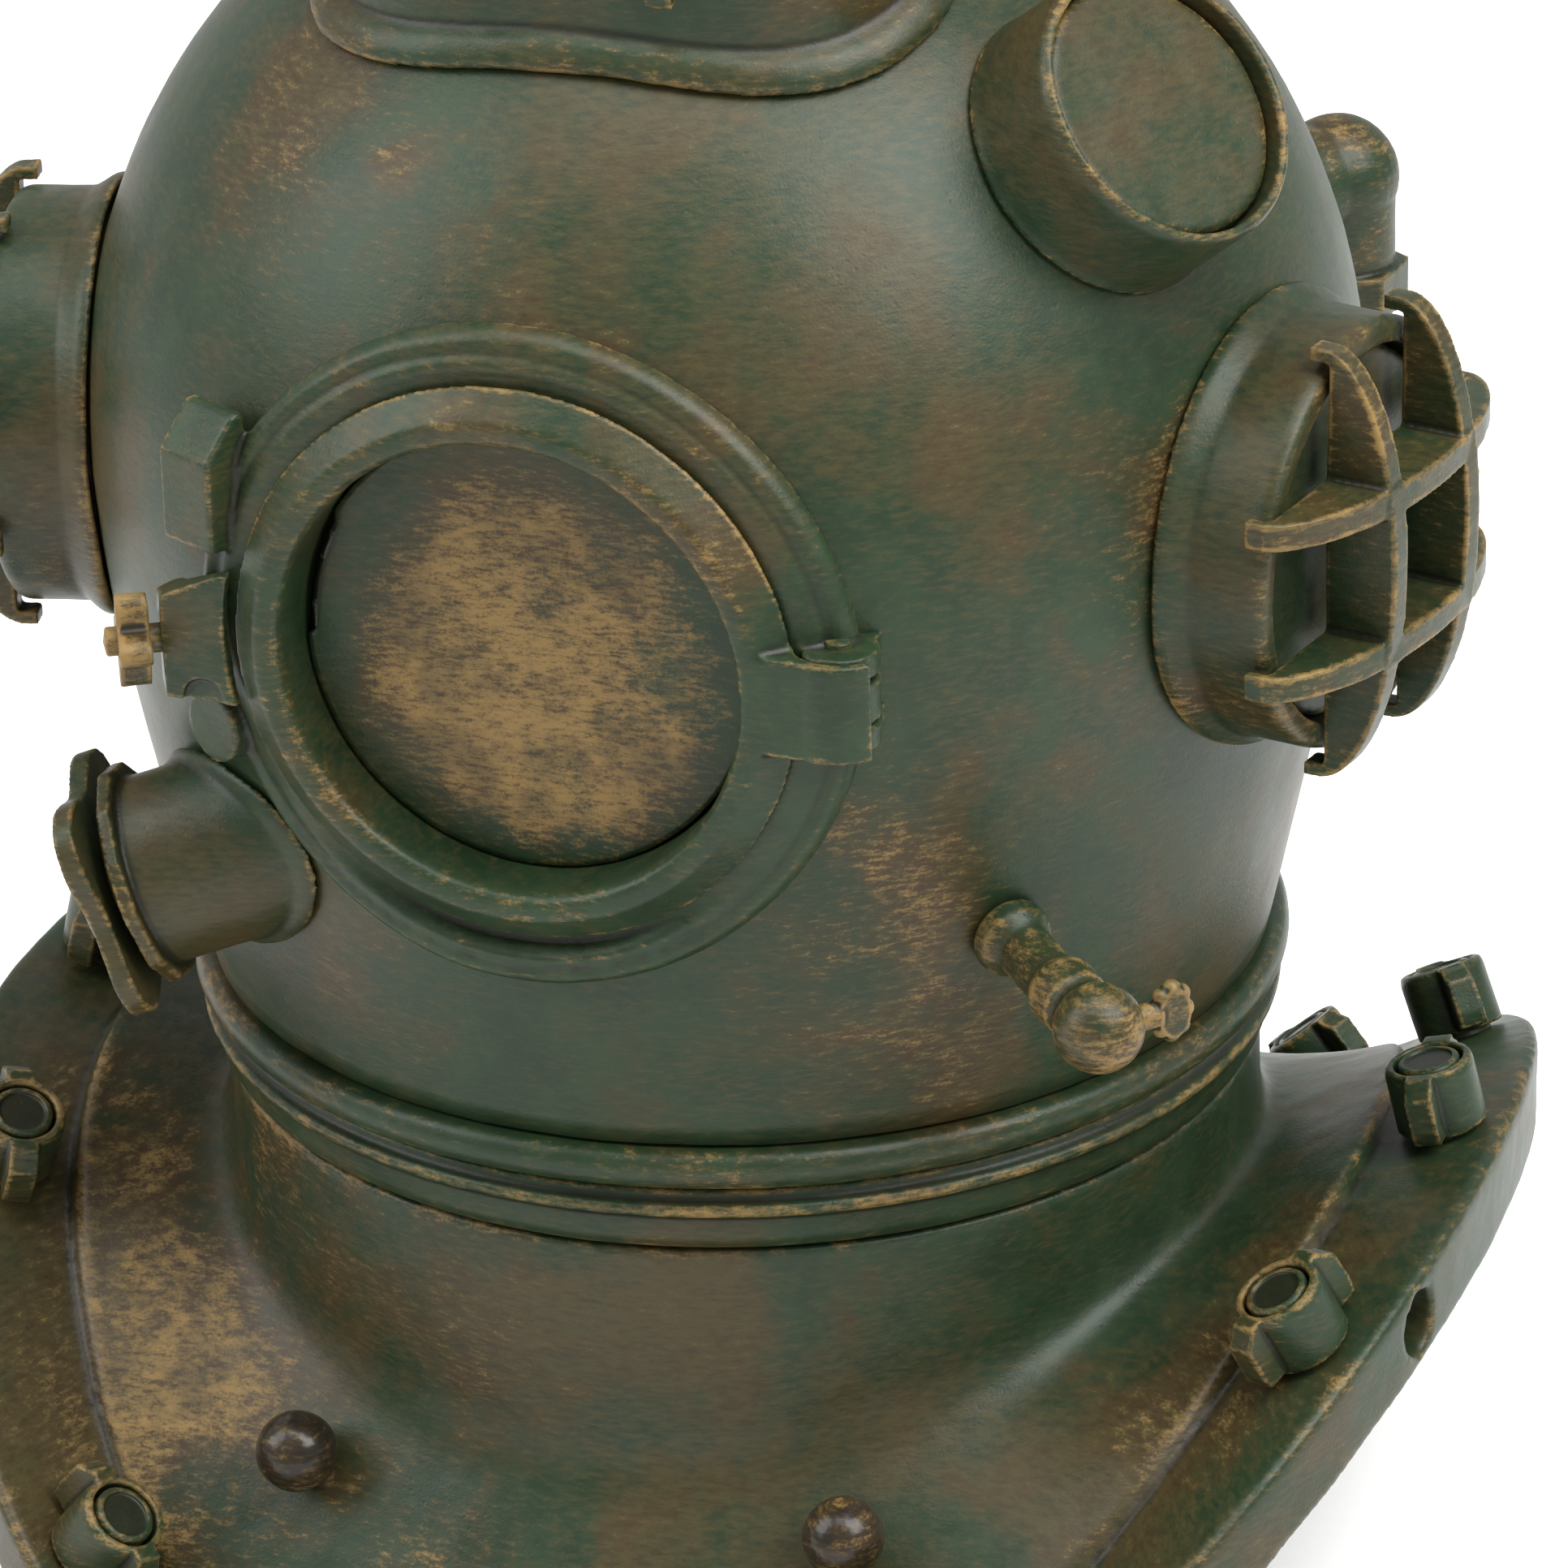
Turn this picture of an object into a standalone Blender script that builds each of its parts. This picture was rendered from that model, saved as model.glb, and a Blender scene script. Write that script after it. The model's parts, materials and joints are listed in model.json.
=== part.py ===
"""Bubbling aquarium ornament in the shape of a hard-hat diving helmet.

Metres, +Z up, the faceplate looks along -Y, origin at the bottom centre. Azimuths run from -Y
towards +X. The helmet is a bonnet on a corselet, with hinged faceplate, guarded ports, valves,
rim studs with wing nuts, and an air line that feeds a stone inside.
"""

import math

import bmesh
import bpy
from mathutils import Matrix, Vector

MM = 0.001
GAP = 0.3 * MM  # between pieces that touch

# Bonnet
BONNET_RADIUS = 50.0 * MM
BONNET_WALL = 3.0 * MM
NECK_RADIUS = 42.9 * MM
NECK_DROP = 0.858 * BONNET_RADIUS  # widest circle down to the neck ring
TAPER_POWER = 1.35

# Neck rings, from the top down
UPPER_RING_HEIGHT = 3.3 * MM
LOWER_RING_HEIGHT = 5.4 * MM
RING_BULGE = 1.5 * MM
SPIGOT_THICK = 1.5 * MM

# Corselet, heights below the lower ring
CORSELET_HEIGHT = 48.3 * MM
CORSELET_WALL = 3.2 * MM
CREASE_DROP, CREASE_SAG = 9.4 * MM, 11.0 * MM
STEP_HALF_X, STEP_HALF_Y = 52.8 * MM, 58.5 * MM
STEP_DROP, STEP_SAG, STEP_LIMIT = 4.4 * MM, 42.8 * MM, 41.8 * MM
STEP_RISE = 1.5 * MM
RIM_WIDTH = 10.9 * MM
RIM_DROP, RIM_SAG = 3.2 * MM, 39.6 * MM
RIM_THICK = 8.5 * MM
SADDLE_POWER, OUTLINE_POWER = 2.17, 2.22
SLOT_AZIMUTH, SLOT_WIDTH, SLOT_HEIGHT = 75.0, 4.6 * MM, 5.6 * MM

# Rim studs and their wing nuts: the angles of one side
STUD_ANGLES = (38.0, 68.0, 91.0, 114.0, 142.0)
STUD_RADIUS = 2.5 * MM
NUT_RADIUS, NUT_HEIGHT, NUT_REACH, NUT_WING = 3.6 * MM, 5.6 * MM, 5.5 * MM, 2.4 * MM
BALL_ANGLE, BALL_OUT, BALL_RADIUS = 28.3, 47.3 * MM, 3.2 * MM

# Front port and hinged faceplate
FACE_LEVEL = -2.2 * MM
FACE_RADIUS, FACE_BORE, FACE_DEPTH = 20.1 * MM, 17.6 * MM, 5.2 * MM
FACE_SET_BACK = 0.6 * MM  # front of the ring behind the sphere's foremost point
PORT_LIP = 25.6 * MM
DISC_THICK = 2.0 * MM
SLIT_WIDTH = 0.8 * MM
HINGE_OUT, HINGE_BACK = 24.2 * MM, 3.8 * MM  # axis from the centre, and behind the ring's front
KNUCKLE_RADIUS, KNUCKLE_HALF, PIN_RADIUS = 3.0 * MM, 3.8 * MM, 1.0 * MM
LEAF_THICK = 0.95 * MM

# Side ports
SIDE_AZIMUTH = 77.0
SIDE_RADIUS, SIDE_STAND, SIDE_RIM = 16.4 * MM, 5.9 * MM, 2.0 * MM
GUARD_BAR, GUARD_OFFSET, GUARD_RISE = 2.2 * MM, 6.0 * MM, 5.7 * MM

# Top port, a rounded square
TOP_ELEVATION = 76.0
TOP_HALF_X, TOP_HALF_Y, TOP_STAND, TOP_LIP = 22.5 * MM, 20.5 * MM, 1.4 * MM, 2.5 * MM

# Speaker cup
CUP_AZIMUTH, CUP_ELEVATION = 64.2, 37.4
CUP_RADIUS, CUP_STAND = 11.0 * MM, 8.1 * MM

# Exhaust valve: where its axis leaves the bonnet, and how it points
VALVE_AZIMUTH, VALVE_LEVEL = -35.9, -24.5 * MM
VALVE_AIM, VALVE_DIP = -74.0, -18.5
VALVE_LENGTH, VALVE_RADIUS, WHEEL_RADIUS = 11.6 * MM, 7.4 * MM, 9.3 * MM

# Spitcock
COCK_AZIMUTH, COCK_LEVEL, COCK_DIP = 44.6, -26.0 * MM, -6.5
COCK_LENGTH, COCK_RADIUS, COCK_BALL = 14.4 * MM, 2.2 * MM, 3.4 * MM

# Elbows at the back, the air line and the stone
ELBOW_AZIMUTH, ELBOW_OUT, ELBOW_LEVEL, ELBOW_RADIUS = 143.0, 11.5 * MM, 5.0 * MM, 5.2 * MM
HOSE_BARB, HOSE_BORE = 2.3 * MM, 1.25 * MM
RISER_RADIUS, RISER_OUT = 2.4 * MM, 29.0 * MM
STONE_RADIUS, STONE_HEIGHT = 6.5 * MM, 15.0 * MM

RING_TOP = NECK_DROP + GAP
LOWER_TOP = RING_TOP + UPPER_RING_HEIGHT + GAP
RING_BOTTOM = LOWER_TOP + LOWER_RING_HEIGHT
CENTRE = CORSELET_HEIGHT + RING_BOTTOM  # height of the widest circle above the base

MATERIALS = {
    "patina": ((0.075, 0.105, 0.072), 0.42, 0.35),
    "worn": ((0.20, 0.145, 0.07), 0.38, 0.45),
    "dark": ((0.055, 0.05, 0.035), 0.35, 0.4),
    "stone": ((0.42, 0.40, 0.36), 0.9, 0.0),
    "tube": ((0.10, 0.11, 0.11), 0.45, 0.0),
}


def circle(count, radius, start=0.0):
    step = 2 * math.pi / count
    return [(radius * math.cos(start + k * step), radius * math.sin(start + k * step))
            for k in range(count)]


def squircle(count, half_x, half_y, power):
    points = []
    for k in range(count):
        a = 2 * math.pi * (k + 0.5) / count
        c, s = math.cos(a), math.sin(a)
        points.append((half_x * math.copysign(abs(c) ** (2 / power), c),
                       half_y * math.copysign(abs(s) ** (2 / power), s)))
    return points


def frame(azimuth, elevation, origin):
    """Local +Z points out at the azimuth and elevation, local +X is level and local +Y is up."""
    a, e = math.radians(azimuth), math.radians(elevation)
    out = Vector((math.sin(a) * math.cos(e), -math.cos(a) * math.cos(e), math.sin(e)))
    level = Vector((math.cos(a), math.sin(a), 0))
    up = out.cross(level)
    rows = [[level[i], up[i], out[i], origin[i]] for i in range(3)] + [[0, 0, 0, 1]]
    return Matrix(rows)


def make(name, bm, material, where=None, helper=False):
    """Closes the mesh, turns its faces outwards and stores it as an object at the frame."""
    bmesh.ops.remove_doubles(bm, verts=bm.verts, dist=1e-7)
    bmesh.ops.recalc_face_normals(bm, faces=bm.faces)
    mesh = bpy.data.meshes.new(name)
    bm.to_mesh(mesh)
    bm.free()
    obj = bpy.data.objects.new(name, mesh)
    obj.matrix_world = where or Matrix()
    bpy.context.scene.collection.objects.link(obj)
    if helper:
        obj.hide_render = True
        obj.display_type = "WIRE"
        return obj
    if name not in bpy.data.materials:
        colour, rough, metal = MATERIALS[material]
        mat = bpy.data.materials.new(name)
        mat.use_nodes = True
        shader = mat.node_tree.nodes["Principled BSDF"]
        shader.inputs["Base Color"].default_value = (*colour, 1)
        shader.inputs["Roughness"].default_value = rough
        shader.inputs["Metallic"].default_value = metal
        mesh.materials.append(mat)
    for face in mesh.polygons:
        face.use_smooth = True
    mesh.set_sharp_from_angle(angle=math.radians(35))
    return obj


def skin(bm, loops, closed=False):
    """Faces between loops of equal length. An open run of loops gets flat caps; one point may
    stand for a loop that has shrunk to the axis."""
    rings = [[bm.verts.new(p) for p in loop] for loop in loops]
    pairs = list(zip(rings, rings[1:] + rings[:1])) if closed else list(zip(rings, rings[1:]))
    for first, second in pairs:
        count = max(len(first), len(second))
        for k in range(count):
            corners = [first[k % len(first)], first[(k + 1) % len(first)],
                       second[(k + 1) % len(second)], second[k % len(second)]]
            bm.faces.new(list(dict.fromkeys(corners)))
    if not closed:
        for ring in (rings[0], rings[-1]):
            if len(ring) > 2:
                bm.faces.new(ring)
    return bm


def turned(name, profile, material, where=None, count=32, closed=True, helper=False):
    """A turned solid about local Z. The profile is (radius, height) in order round the section;
    an open one starts and ends on the axis."""
    loops = []
    for radius, height in profile:
        if radius < 1e-9:
            loops.append([(0, 0, height)])
        else:
            loops.append([(x, y, height) for x, y in circle(count, radius)])
    return make(name, skin(bmesh.new(), loops, closed), material, where, helper)


def prism(name, outline, low, high, material, where=None, helper=False):
    loops = [[(x, y, height) for x, y in outline] for height in (low, high)]
    return make(name, skin(bmesh.new(), loops), material, where, helper)


def combine(obj, other, operation):
    cut = obj.modifiers.new(operation.lower(), "BOOLEAN")
    cut.operation, cut.object, cut.solver = operation, other, "EXACT"


def bonnet_radius(level):
    """Outer radius of the bonnet at a height above its widest circle."""
    if level >= 0:
        return math.sqrt(max(BONNET_RADIUS**2 - level**2, 0))
    share = min(-level / NECK_DROP, 1.2)
    return BONNET_RADIUS - (BONNET_RADIUS - NECK_RADIUS) * share**TAPER_POWER


def seat(where, x, y, clearance=GAP):
    """Height, in the frame, at which a line along its Z meets the bonnet plus the clearance."""
    high, low = 0.09, 0.0
    start = (where.inverted() @ Vector((0, 0, CENTRE))).z
    for _ in range(40):
        middle = (high + low) / 2
        point = where @ Vector((x, y, start + middle))
        level = point.z - CENTRE
        outside = math.hypot(point.x, point.y) > bonnet_radius(level) + clearance
        if level > 0:
            outside = (point - Vector((0, 0, CENTRE))).length > BONNET_RADIUS + clearance
        high, low = (middle, low) if outside else (high, middle)
    return start + high


def seated(bm_loops, where, outline, clearance=GAP):
    """Appends a loop that lies on the bonnet."""
    bm_loops.append([(x, y, seat(where, x, y, clearance)) for x, y in outline])
    return bm_loops


def fitting(name, where, spigot, depth, outer, bore, material, count=32):
    """A round fitting: spigot through the bonnet, a seat on its surface, the outer profile, and
    a bore. Heights are in the frame."""
    loops = [[(x, y, depth) for x, y in circle(count, spigot)]]
    seated(loops, where, circle(count, spigot))
    seated(loops, where, circle(count, outer[0][0]))
    for radius, height in outer:
        ring = circle(count, radius)
        if height is None:  # a lip that follows the surface
            loops.append([(x, y, seat(where, x, y) + outer[0][2]) for x, y in ring])
        else:
            loops.append([(x, y, height) for x, y in ring])
    for radius, height in bore:
        loops.append([(x, y, height) for x, y in circle(count, radius)])
    return make(name, skin(bmesh.new(), loops, closed=True), material, where)


for old in list(bpy.data.objects):
    bpy.data.objects.remove(old)

TOP = Vector((0, 0, CENTRE))
SPHERE = frame(0, 0, TOP)
FRONT = frame(0, 0, TOP + Vector((0, 0, FACE_LEVEL)))
RIGHT, LEFT = frame(SIDE_AZIMUTH, 0, TOP), frame(-SIDE_AZIMUTH, 0, TOP)
CROWN = frame(0, TOP_ELEVATION, TOP)
CUP = frame(CUP_AZIMUTH, CUP_ELEVATION, TOP)


def on_bonnet(azimuth, level, aim, dip):
    a, radius = math.radians(azimuth), bonnet_radius(level)
    spot = Vector((radius * math.sin(a), -radius * math.cos(a), CENTRE + level))
    return frame(aim, dip, spot)


VALVE = on_bonnet(VALVE_AZIMUTH, VALVE_LEVEL, VALVE_AIM, VALVE_DIP)
COCK = on_bonnet(COCK_AZIMUTH, COCK_LEVEL, COCK_AZIMUTH, COCK_DIP)
ELBOWS = {side: on_bonnet(turn * ELBOW_AZIMUTH, ELBOW_LEVEL, turn * ELBOW_AZIMUTH, 0)
          for side, turn in (("phone", 1), ("air", -1))}

# Holes through the bonnet: frame, radius, and the heights between which they run
SIDE_SPIGOT = SIDE_RADIUS - 1.2 * MM
FACE_SPIGOT = FACE_RADIUS + 2.1 * MM
CUP_SPIGOT, VALVE_SPIGOT, COCK_SPIGOT, ELBOW_SPIGOT = 8.0 * MM, 4.6 * MM, 1.5 * MM, 3.4 * MM
INSIDE = BONNET_RADIUS - 12 * MM
OUTSIDE = BONNET_RADIUS + 9 * MM
HOLES = [
    (FRONT, FACE_SPIGOT, INSIDE, OUTSIDE),
    (RIGHT, SIDE_SPIGOT, INSIDE, OUTSIDE),
    (LEFT, SIDE_SPIGOT, INSIDE, OUTSIDE),
    (CUP, CUP_SPIGOT, INSIDE, OUTSIDE),
    (VALVE, VALVE_SPIGOT, -20 * MM, 12 * MM),
    (COCK, COCK_SPIGOT, -6 * MM, 5 * MM),
    (ELBOWS["air"], ELBOW_SPIGOT, -6 * MM, 5 * MM),
    (ELBOWS["phone"], ELBOW_SPIGOT, -6 * MM, 5 * MM),
]

# ---------------------------------------------------------------- bonnet
outer = [(0.0, BONNET_RADIUS)]
for k in range(1, 9):
    a = math.radians(90 - 11.25 * k)
    outer.append((BONNET_RADIUS * math.cos(a), BONNET_RADIUS * math.sin(a)))
for k in range(1, 6):
    level = -NECK_DROP * k / 5
    outer.append((bonnet_radius(level), level))
inner = []
for k in range(3, 0, -1):
    level = -NECK_DROP * k / 3
    inner.append((bonnet_radius(level) - BONNET_WALL, level))
for k in range(6):
    a = math.radians(90 * k / 6)
    cavity = BONNET_RADIUS - BONNET_WALL
    inner.append((cavity * math.cos(a), cavity * math.sin(a)))
inner.append((0.0, BONNET_RADIUS - BONNET_WALL))
bonnet = turned("bonnet_shell", outer + inner, "patina", Matrix.Translation(TOP), 36, closed=False)
holes = bmesh.new()
for where, radius, low, high in HOLES:
    count = 32 if radius > 10 * MM else 16
    ring = circle(count, radius + GAP)
    for loop in ([(x, y, low) for x, y in ring], [(x, y, high) for x, y in ring]):
        loop[:] = [where @ Vector(p) for p in loop]
        holes.verts.index_update()
        verts = [holes.verts.new(p) for p in loop]
        if loop[0] == where @ Vector((*ring[0], low)):
            first = verts
    for k in range(count):
        n = (k + 1) % count
        holes.faces.new((first[k], first[n], verts[n], verts[k]))
    holes.faces.new(first)
    holes.faces.new(verts)
outline = squircle(32, TOP_HALF_X - 1.4 * MM + GAP, TOP_HALF_Y - 1.4 * MM + GAP, 3)
skin(holes, [[CROWN @ Vector((x, y, h)) for x, y in outline] for h in (INSIDE, OUTSIDE)])
combine(bonnet, make("bonnet_holes", holes, None, helper=True), "DIFFERENCE")

# ---------------------------------------------------------------- neck rings
BASE = Matrix.Translation(TOP)
lip = NECK_RADIUS - BONNET_WALL - GAP
up, down = -RING_TOP, -RING_TOP - UPPER_RING_HEIGHT
bulge = NECK_RADIUS + RING_BULGE
turned("bonnet_neck_ring", [
    (NECK_RADIUS - 0.2 * MM, up), (bulge - 0.5 * MM, up - 0.2 * MM), (bulge, up - 1.0 * MM),
    (bulge, down + 1.2 * MM), (bulge - 0.6 * MM, down + 0.3 * MM), (NECK_RADIUS - 0.4 * MM, down),
    (lip - SPIGOT_THICK, down), (lip - SPIGOT_THICK, up + 3.5 * MM), (lip, up + 3.5 * MM), (lip, up),
], "worn", BASE, 32)
up, down = -LOWER_TOP, -RING_BOTTOM
sleeve = lip - SPIGOT_THICK - GAP
turned("corselet_neck_ring", [
    (NECK_RADIUS - 0.1 * MM, up), (NECK_RADIUS + 0.3 * MM, up - 0.9 * MM),
    (NECK_RADIUS + 0.9 * MM, up - 1.3 * MM), (NECK_RADIUS + 0.9 * MM, up - 1.8 * MM),
    (NECK_RADIUS + 0.1 * MM, up - 2.3 * MM), (NECK_RADIUS, down + 0.8 * MM),
    (NECK_RADIUS - 0.6 * MM, down), (sleeve - SPIGOT_THICK, down),
    (sleeve - SPIGOT_THICK, -RING_TOP + 1.5 * MM), (sleeve, -RING_TOP + 1.5 * MM), (sleeve, up),
], "worn", BASE, 32)

# ---------------------------------------------------------------- corselet
NECK_END = CORSELET_HEIGHT - GAP


def outline_point(angle, half_x, half_y):
    s, c = math.sin(angle), math.cos(angle)
    return (half_x * math.copysign(abs(s) ** (2 / OUTLINE_POWER), s),
            -half_y * math.copysign(abs(c) ** (2 / OUTLINE_POWER), c))


def saddle(angle, drop, sag):
    return CORSELET_HEIGHT - drop - sag * abs(math.cos(angle)) ** SADDLE_POWER


def step_height(angle):
    """Top of the yoke's edge: it follows the saddle and levels out at the front and back."""
    z, limit = saddle(angle, STEP_DROP, STEP_SAG), CORSELET_HEIGHT - STEP_LIMIT
    return 0.5 * (z + limit + math.hypot(z - limit, 2 * MM))


def rim_point(angle, share):
    """A point of the rim's top face: share 0 at the yoke's edge, 1 at the outer edge."""
    x, y = outline_point(angle, STEP_HALF_X, STEP_HALF_Y)
    u, v = outline_point(angle, STEP_HALF_X + RIM_WIDTH, STEP_HALF_Y + RIM_WIDTH)
    low, high = step_height(angle) - STEP_RISE, saddle(angle, RIM_DROP, RIM_SAG)
    return Vector((x + (u - x) * share, y + (v - y) * share, low + (high - low) * share))


def yoke_point(angle, share):
    """A point of the yoke: share 0 at the neck's crease, 1 at the step."""
    radius = NECK_RADIUS - 0.7 * MM
    x, y = radius * math.sin(angle), -radius * math.cos(angle)
    u, v = outline_point(angle, STEP_HALF_X, STEP_HALF_Y)
    low, high = saddle(angle, CREASE_DROP, CREASE_SAG), step_height(angle)
    return Vector((x + (u - x) * share, y + (v - y) * share, low + (high - low) * share))


def normal_frame(surface, angle, share):
    spot, d = surface(angle, share), 1e-3
    along = surface(angle + d, share) - surface(angle - d, share)
    across = surface(angle, share + d) - surface(angle, share - d)
    out = across.cross(along).normalized()
    if out.z < 0:
        out = -out
    level = (across - across.project(out)).normalized()
    side = out.cross(level)
    return Matrix([[level[i], side[i], out[i], spot[i]] for i in range(3)] + [[0, 0, 0, 1]])


loops = []
for k in range(40):
    a = 2 * math.pi * k / 40
    hole = NECK_RADIUS - 0.7 * MM - CORSELET_WALL
    ray = Vector((math.sin(a), -math.cos(a), 0))
    crease, step, edge = yoke_point(a, 0), yoke_point(a, 1), rim_point(a, 1)
    inward = Vector((edge.x, edge.y, 0)).normalized() * CORSELET_WALL
    foot = max(edge.z - RIM_THICK, 0.0)
    under = CORSELET_WALL
    section = [
        ray * (NECK_RADIUS - 0.8 * MM) + Vector((0, 0, NECK_END)),
        crease,
        step,
        rim_point(a, 0.04),
        edge,
        Vector((edge.x, edge.y, foot)),
        Vector((edge.x, edge.y, foot)) - inward,
        edge - inward - Vector((0, 0, under)),
        step - inward * 0.3 - Vector((0, 0, STEP_RISE + under)),
        ray * hole + Vector((0, 0, crease.z - under * 1.2)),
        ray * hole + Vector((0, 0, NECK_END)),
    ]
    loops.append(section)
corselet = make("corselet_shell", skin(bmesh.new(), loops, closed=True), "patina")

cutters = bmesh.new()
STUDS = {}
for side, sign in (("right", 1), ("left", -1)):
    for number, angle in enumerate(STUD_ANGLES, 1):
        where = normal_frame(rim_point, sign * math.radians(angle), 0.5)
        STUDS[f"{side}_{number}"] = where
        ring = circle(14, STUD_RADIUS + GAP)
        skin(cutters, [[where @ Vector((x, y, h)) for x, y in ring] for h in (-7 * MM, 4 * MM)])
    spot = rim_point(sign * math.radians(SLOT_AZIMUTH), 1)
    where = frame(sign * SLOT_AZIMUTH, 0, spot - Vector((0, 0, RIM_THICK / 2)))
    ring = [(x * SLOT_WIDTH / 2, y * SLOT_HEIGHT / 2) for x, y in circle(18, 1)]
    depth = CORSELET_WALL + 1.6 * MM
    skin(cutters, [[where @ Vector((x, y, h)) for x, y in ring] for h in (-depth, 3 * MM)])
BALLS = {}
for side, sign in (("right", 1), ("left", -1)):
    angle = sign * math.radians(BALL_ANGLE)
    reach = BALL_OUT - (NECK_RADIUS - 0.7 * MM)
    span = Vector(yoke_point(angle, 1).xy).length - (NECK_RADIUS - 0.7 * MM)
    where = normal_frame(yoke_point, angle, reach / span)
    BALLS[side] = where
    ring = circle(16, 1.3 * MM + GAP, 0.1)
    skin(cutters, [[where @ Vector((x, y, h)) for x, y in ring] for h in (-9 * MM, 5 * MM)])
combine(corselet, make("corselet_holes", cutters, None, helper=True), "DIFFERENCE")

# ---------------------------------------------------------------- rim studs and wing nuts
for label, where in STUDS.items():
    top = NUT_HEIGHT + 0.9 * MM
    turned(f"rim_stud_{label}", [
        (0, -4.2 * MM), (STUD_RADIUS, -4.2 * MM), (STUD_RADIUS, top - 0.5 * MM), (STUD_RADIUS - 0.6 * MM, top),
        (0, top + 0.2 * MM)], "dark", where, 14, closed=False)
    low, high = 0.6 * MM, 0.6 * MM + NUT_HEIGHT
    nut = turned(f"wing_nut_{label}", [(0, low), (NUT_RADIUS, low), (NUT_RADIUS, high), (0, high)],
                 "patina", where, 14, closed=False)
    bar = [(NUT_REACH, -NUT_WING / 2), (NUT_REACH, NUT_WING / 2),
           (-NUT_REACH, NUT_WING / 2), (-NUT_REACH, -NUT_WING / 2)]
    wings = prism(f"wings_{label}", bar, low + 1.6 * MM, high + 0.4 * MM, None, where, helper=True)
    bore = prism(f"bore_{label}", circle(14, STUD_RADIUS + GAP), -1 * MM, high + 2 * MM, None, where,
                 helper=True)
    combine(nut, wings, "UNION")
    combine(nut, bore, "DIFFERENCE")
for side, where in BALLS.items():
    profile = [(0, -6 * MM), (1.3 * MM, -6 * MM), (1.3 * MM, 0.6 * MM)]
    centre = 2 * GAP + BALL_RADIUS * 0.85
    for k in range(7):
        a = math.radians(-58 + 148 * k / 6)
        profile.append((BALL_RADIUS * math.cos(a) if k < 6 else 0, centre + BALL_RADIUS * math.sin(a)))
    turned(f"ball_stud_{side}", profile, "dark", where, 16, closed=False)

# ---------------------------------------------------------------- front port
front = BONNET_RADIUS - FACE_SET_BACK
split = front - 2.2 * MM  # where the door meets the barrel
bore = FACE_RADIUS - 0.4 * MM
flare = FACE_RADIUS + 1.8 * MM
lip_height = 1.9 * MM
loops = [[(x, y, front - 12 * MM) for x, y in circle(40, FACE_SPIGOT)]]
seated(loops, FRONT, circle(40, FACE_SPIGOT))
seated(loops, FRONT, circle(40, PORT_LIP))
for radius, above in ((PORT_LIP, 1.3 * MM), (PORT_LIP - 0.8 * MM, 1.9 * MM), (FACE_RADIUS + 3.7 * MM, 1.5 * MM)):
    loops.append([(x, y, seat(FRONT, x, y) + above) for x, y in circle(40, radius)])
for radius, height in ((flare, split - GAP), (bore, split - GAP), (bore, front - 12 * MM)):
    loops.append([(x, y, height) for x, y in circle(40, radius)])
barrel = make("front_port_barrel", skin(bmesh.new(), loops, closed=True), "patina", FRONT)

HINGE = Vector((HINGE_OUT, -(front - HINGE_BACK), CENTRE + FACE_LEVEL))
hinge = Matrix.Translation(HINGE)
knuckle = circle(20, KNUCKLE_RADIUS)
third = KNUCKLE_HALF * 0.4
web = [(-2.8 * MM, 0), (2.2 * MM, 0), (2.2 * MM, 4.2 * MM), (-2.8 * MM, 4.2 * MM)]


def cleared(name, outline, low, high, clearance=GAP):
    """A prism on the hinge frame whose points stay off the bonnet."""
    kept = []
    for x, y in outline:
        limit = -math.sqrt(max((BONNET_RADIUS + clearance) ** 2 - (HINGE.x + x) ** 2, 0)) - HINGE.y
        kept.append((x, min(y, limit)))
    return prism(name, kept, low, high, None, hinge, helper=True)


pocket = prism("knuckle_pocket", circle(20, KNUCKLE_RADIUS + 2 * GAP), -third - GAP, third + GAP, None,
               hinge, helper=True)
combine(bonnet, pocket, "DIFFERENCE")
combine(barrel, pocket, "DIFFERENCE")
for side, low, high in (("upper", third + GAP, KNUCKLE_HALF), ("lower", -KNUCKLE_HALF, -third - GAP)):
    arm = cleared(f"hinge_web_{side}", web, low, high)
    arm_knuckle = cleared(f"hinge_knuckle_{side}", knuckle, low, high)
    combine(barrel, arm, "UNION")
    combine(barrel, arm_knuckle, "UNION")
pin_hole = prism("hinge_bore", circle(12, PIN_RADIUS + GAP), -8 * MM, 8 * MM, None, hinge, helper=True)
combine(barrel, pin_hole, "DIFFERENCE")
head = PIN_RADIUS + 0.8 * MM
head_room = prism("pin_head_room", circle(12, head + GAP), -KNUCKLE_HALF - 8 * MM, -KNUCKLE_HALF - 0.1 * MM,
                  None, hinge, helper=True)
combine(barrel, head_room, "DIFFERENCE")
turned("faceplate_hinge_pin", [
    (0, -KNUCKLE_HALF - 0.9 * MM), (head, -KNUCKLE_HALF - 0.9 * MM), (head, -KNUCKLE_HALF - GAP),
    (PIN_RADIUS, -KNUCKLE_HALF - GAP), (PIN_RADIUS, KNUCKLE_HALF + 0.4 * MM), (0, KNUCKLE_HALF + 0.6 * MM),
], "dark", hinge, 12, closed=False)

# Faceplate, drawn about the port's axis and then hung on the hinge
sleeve_back = front - FACE_DEPTH - DISC_THICK - GAP
plug = bore - 0.5 * MM
ring = turned("faceplate_ring", [
    (FACE_RADIUS - 0.7 * MM, front), (FACE_RADIUS, front - 0.5 * MM), (flare, split), (plug, split),
    (plug, sleeve_back - 1.0 * MM), (FACE_BORE - 1.6 * MM, sleeve_back - 1.0 * MM),
    (FACE_BORE - 1.6 * MM, sleeve_back), (FACE_BORE, sleeve_back), (FACE_BORE, front - 0.5 * MM),
    (FACE_BORE + 0.6 * MM, front)], "worn", FRONT, 40)
reach = KNUCKLE_RADIUS + GAP


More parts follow.
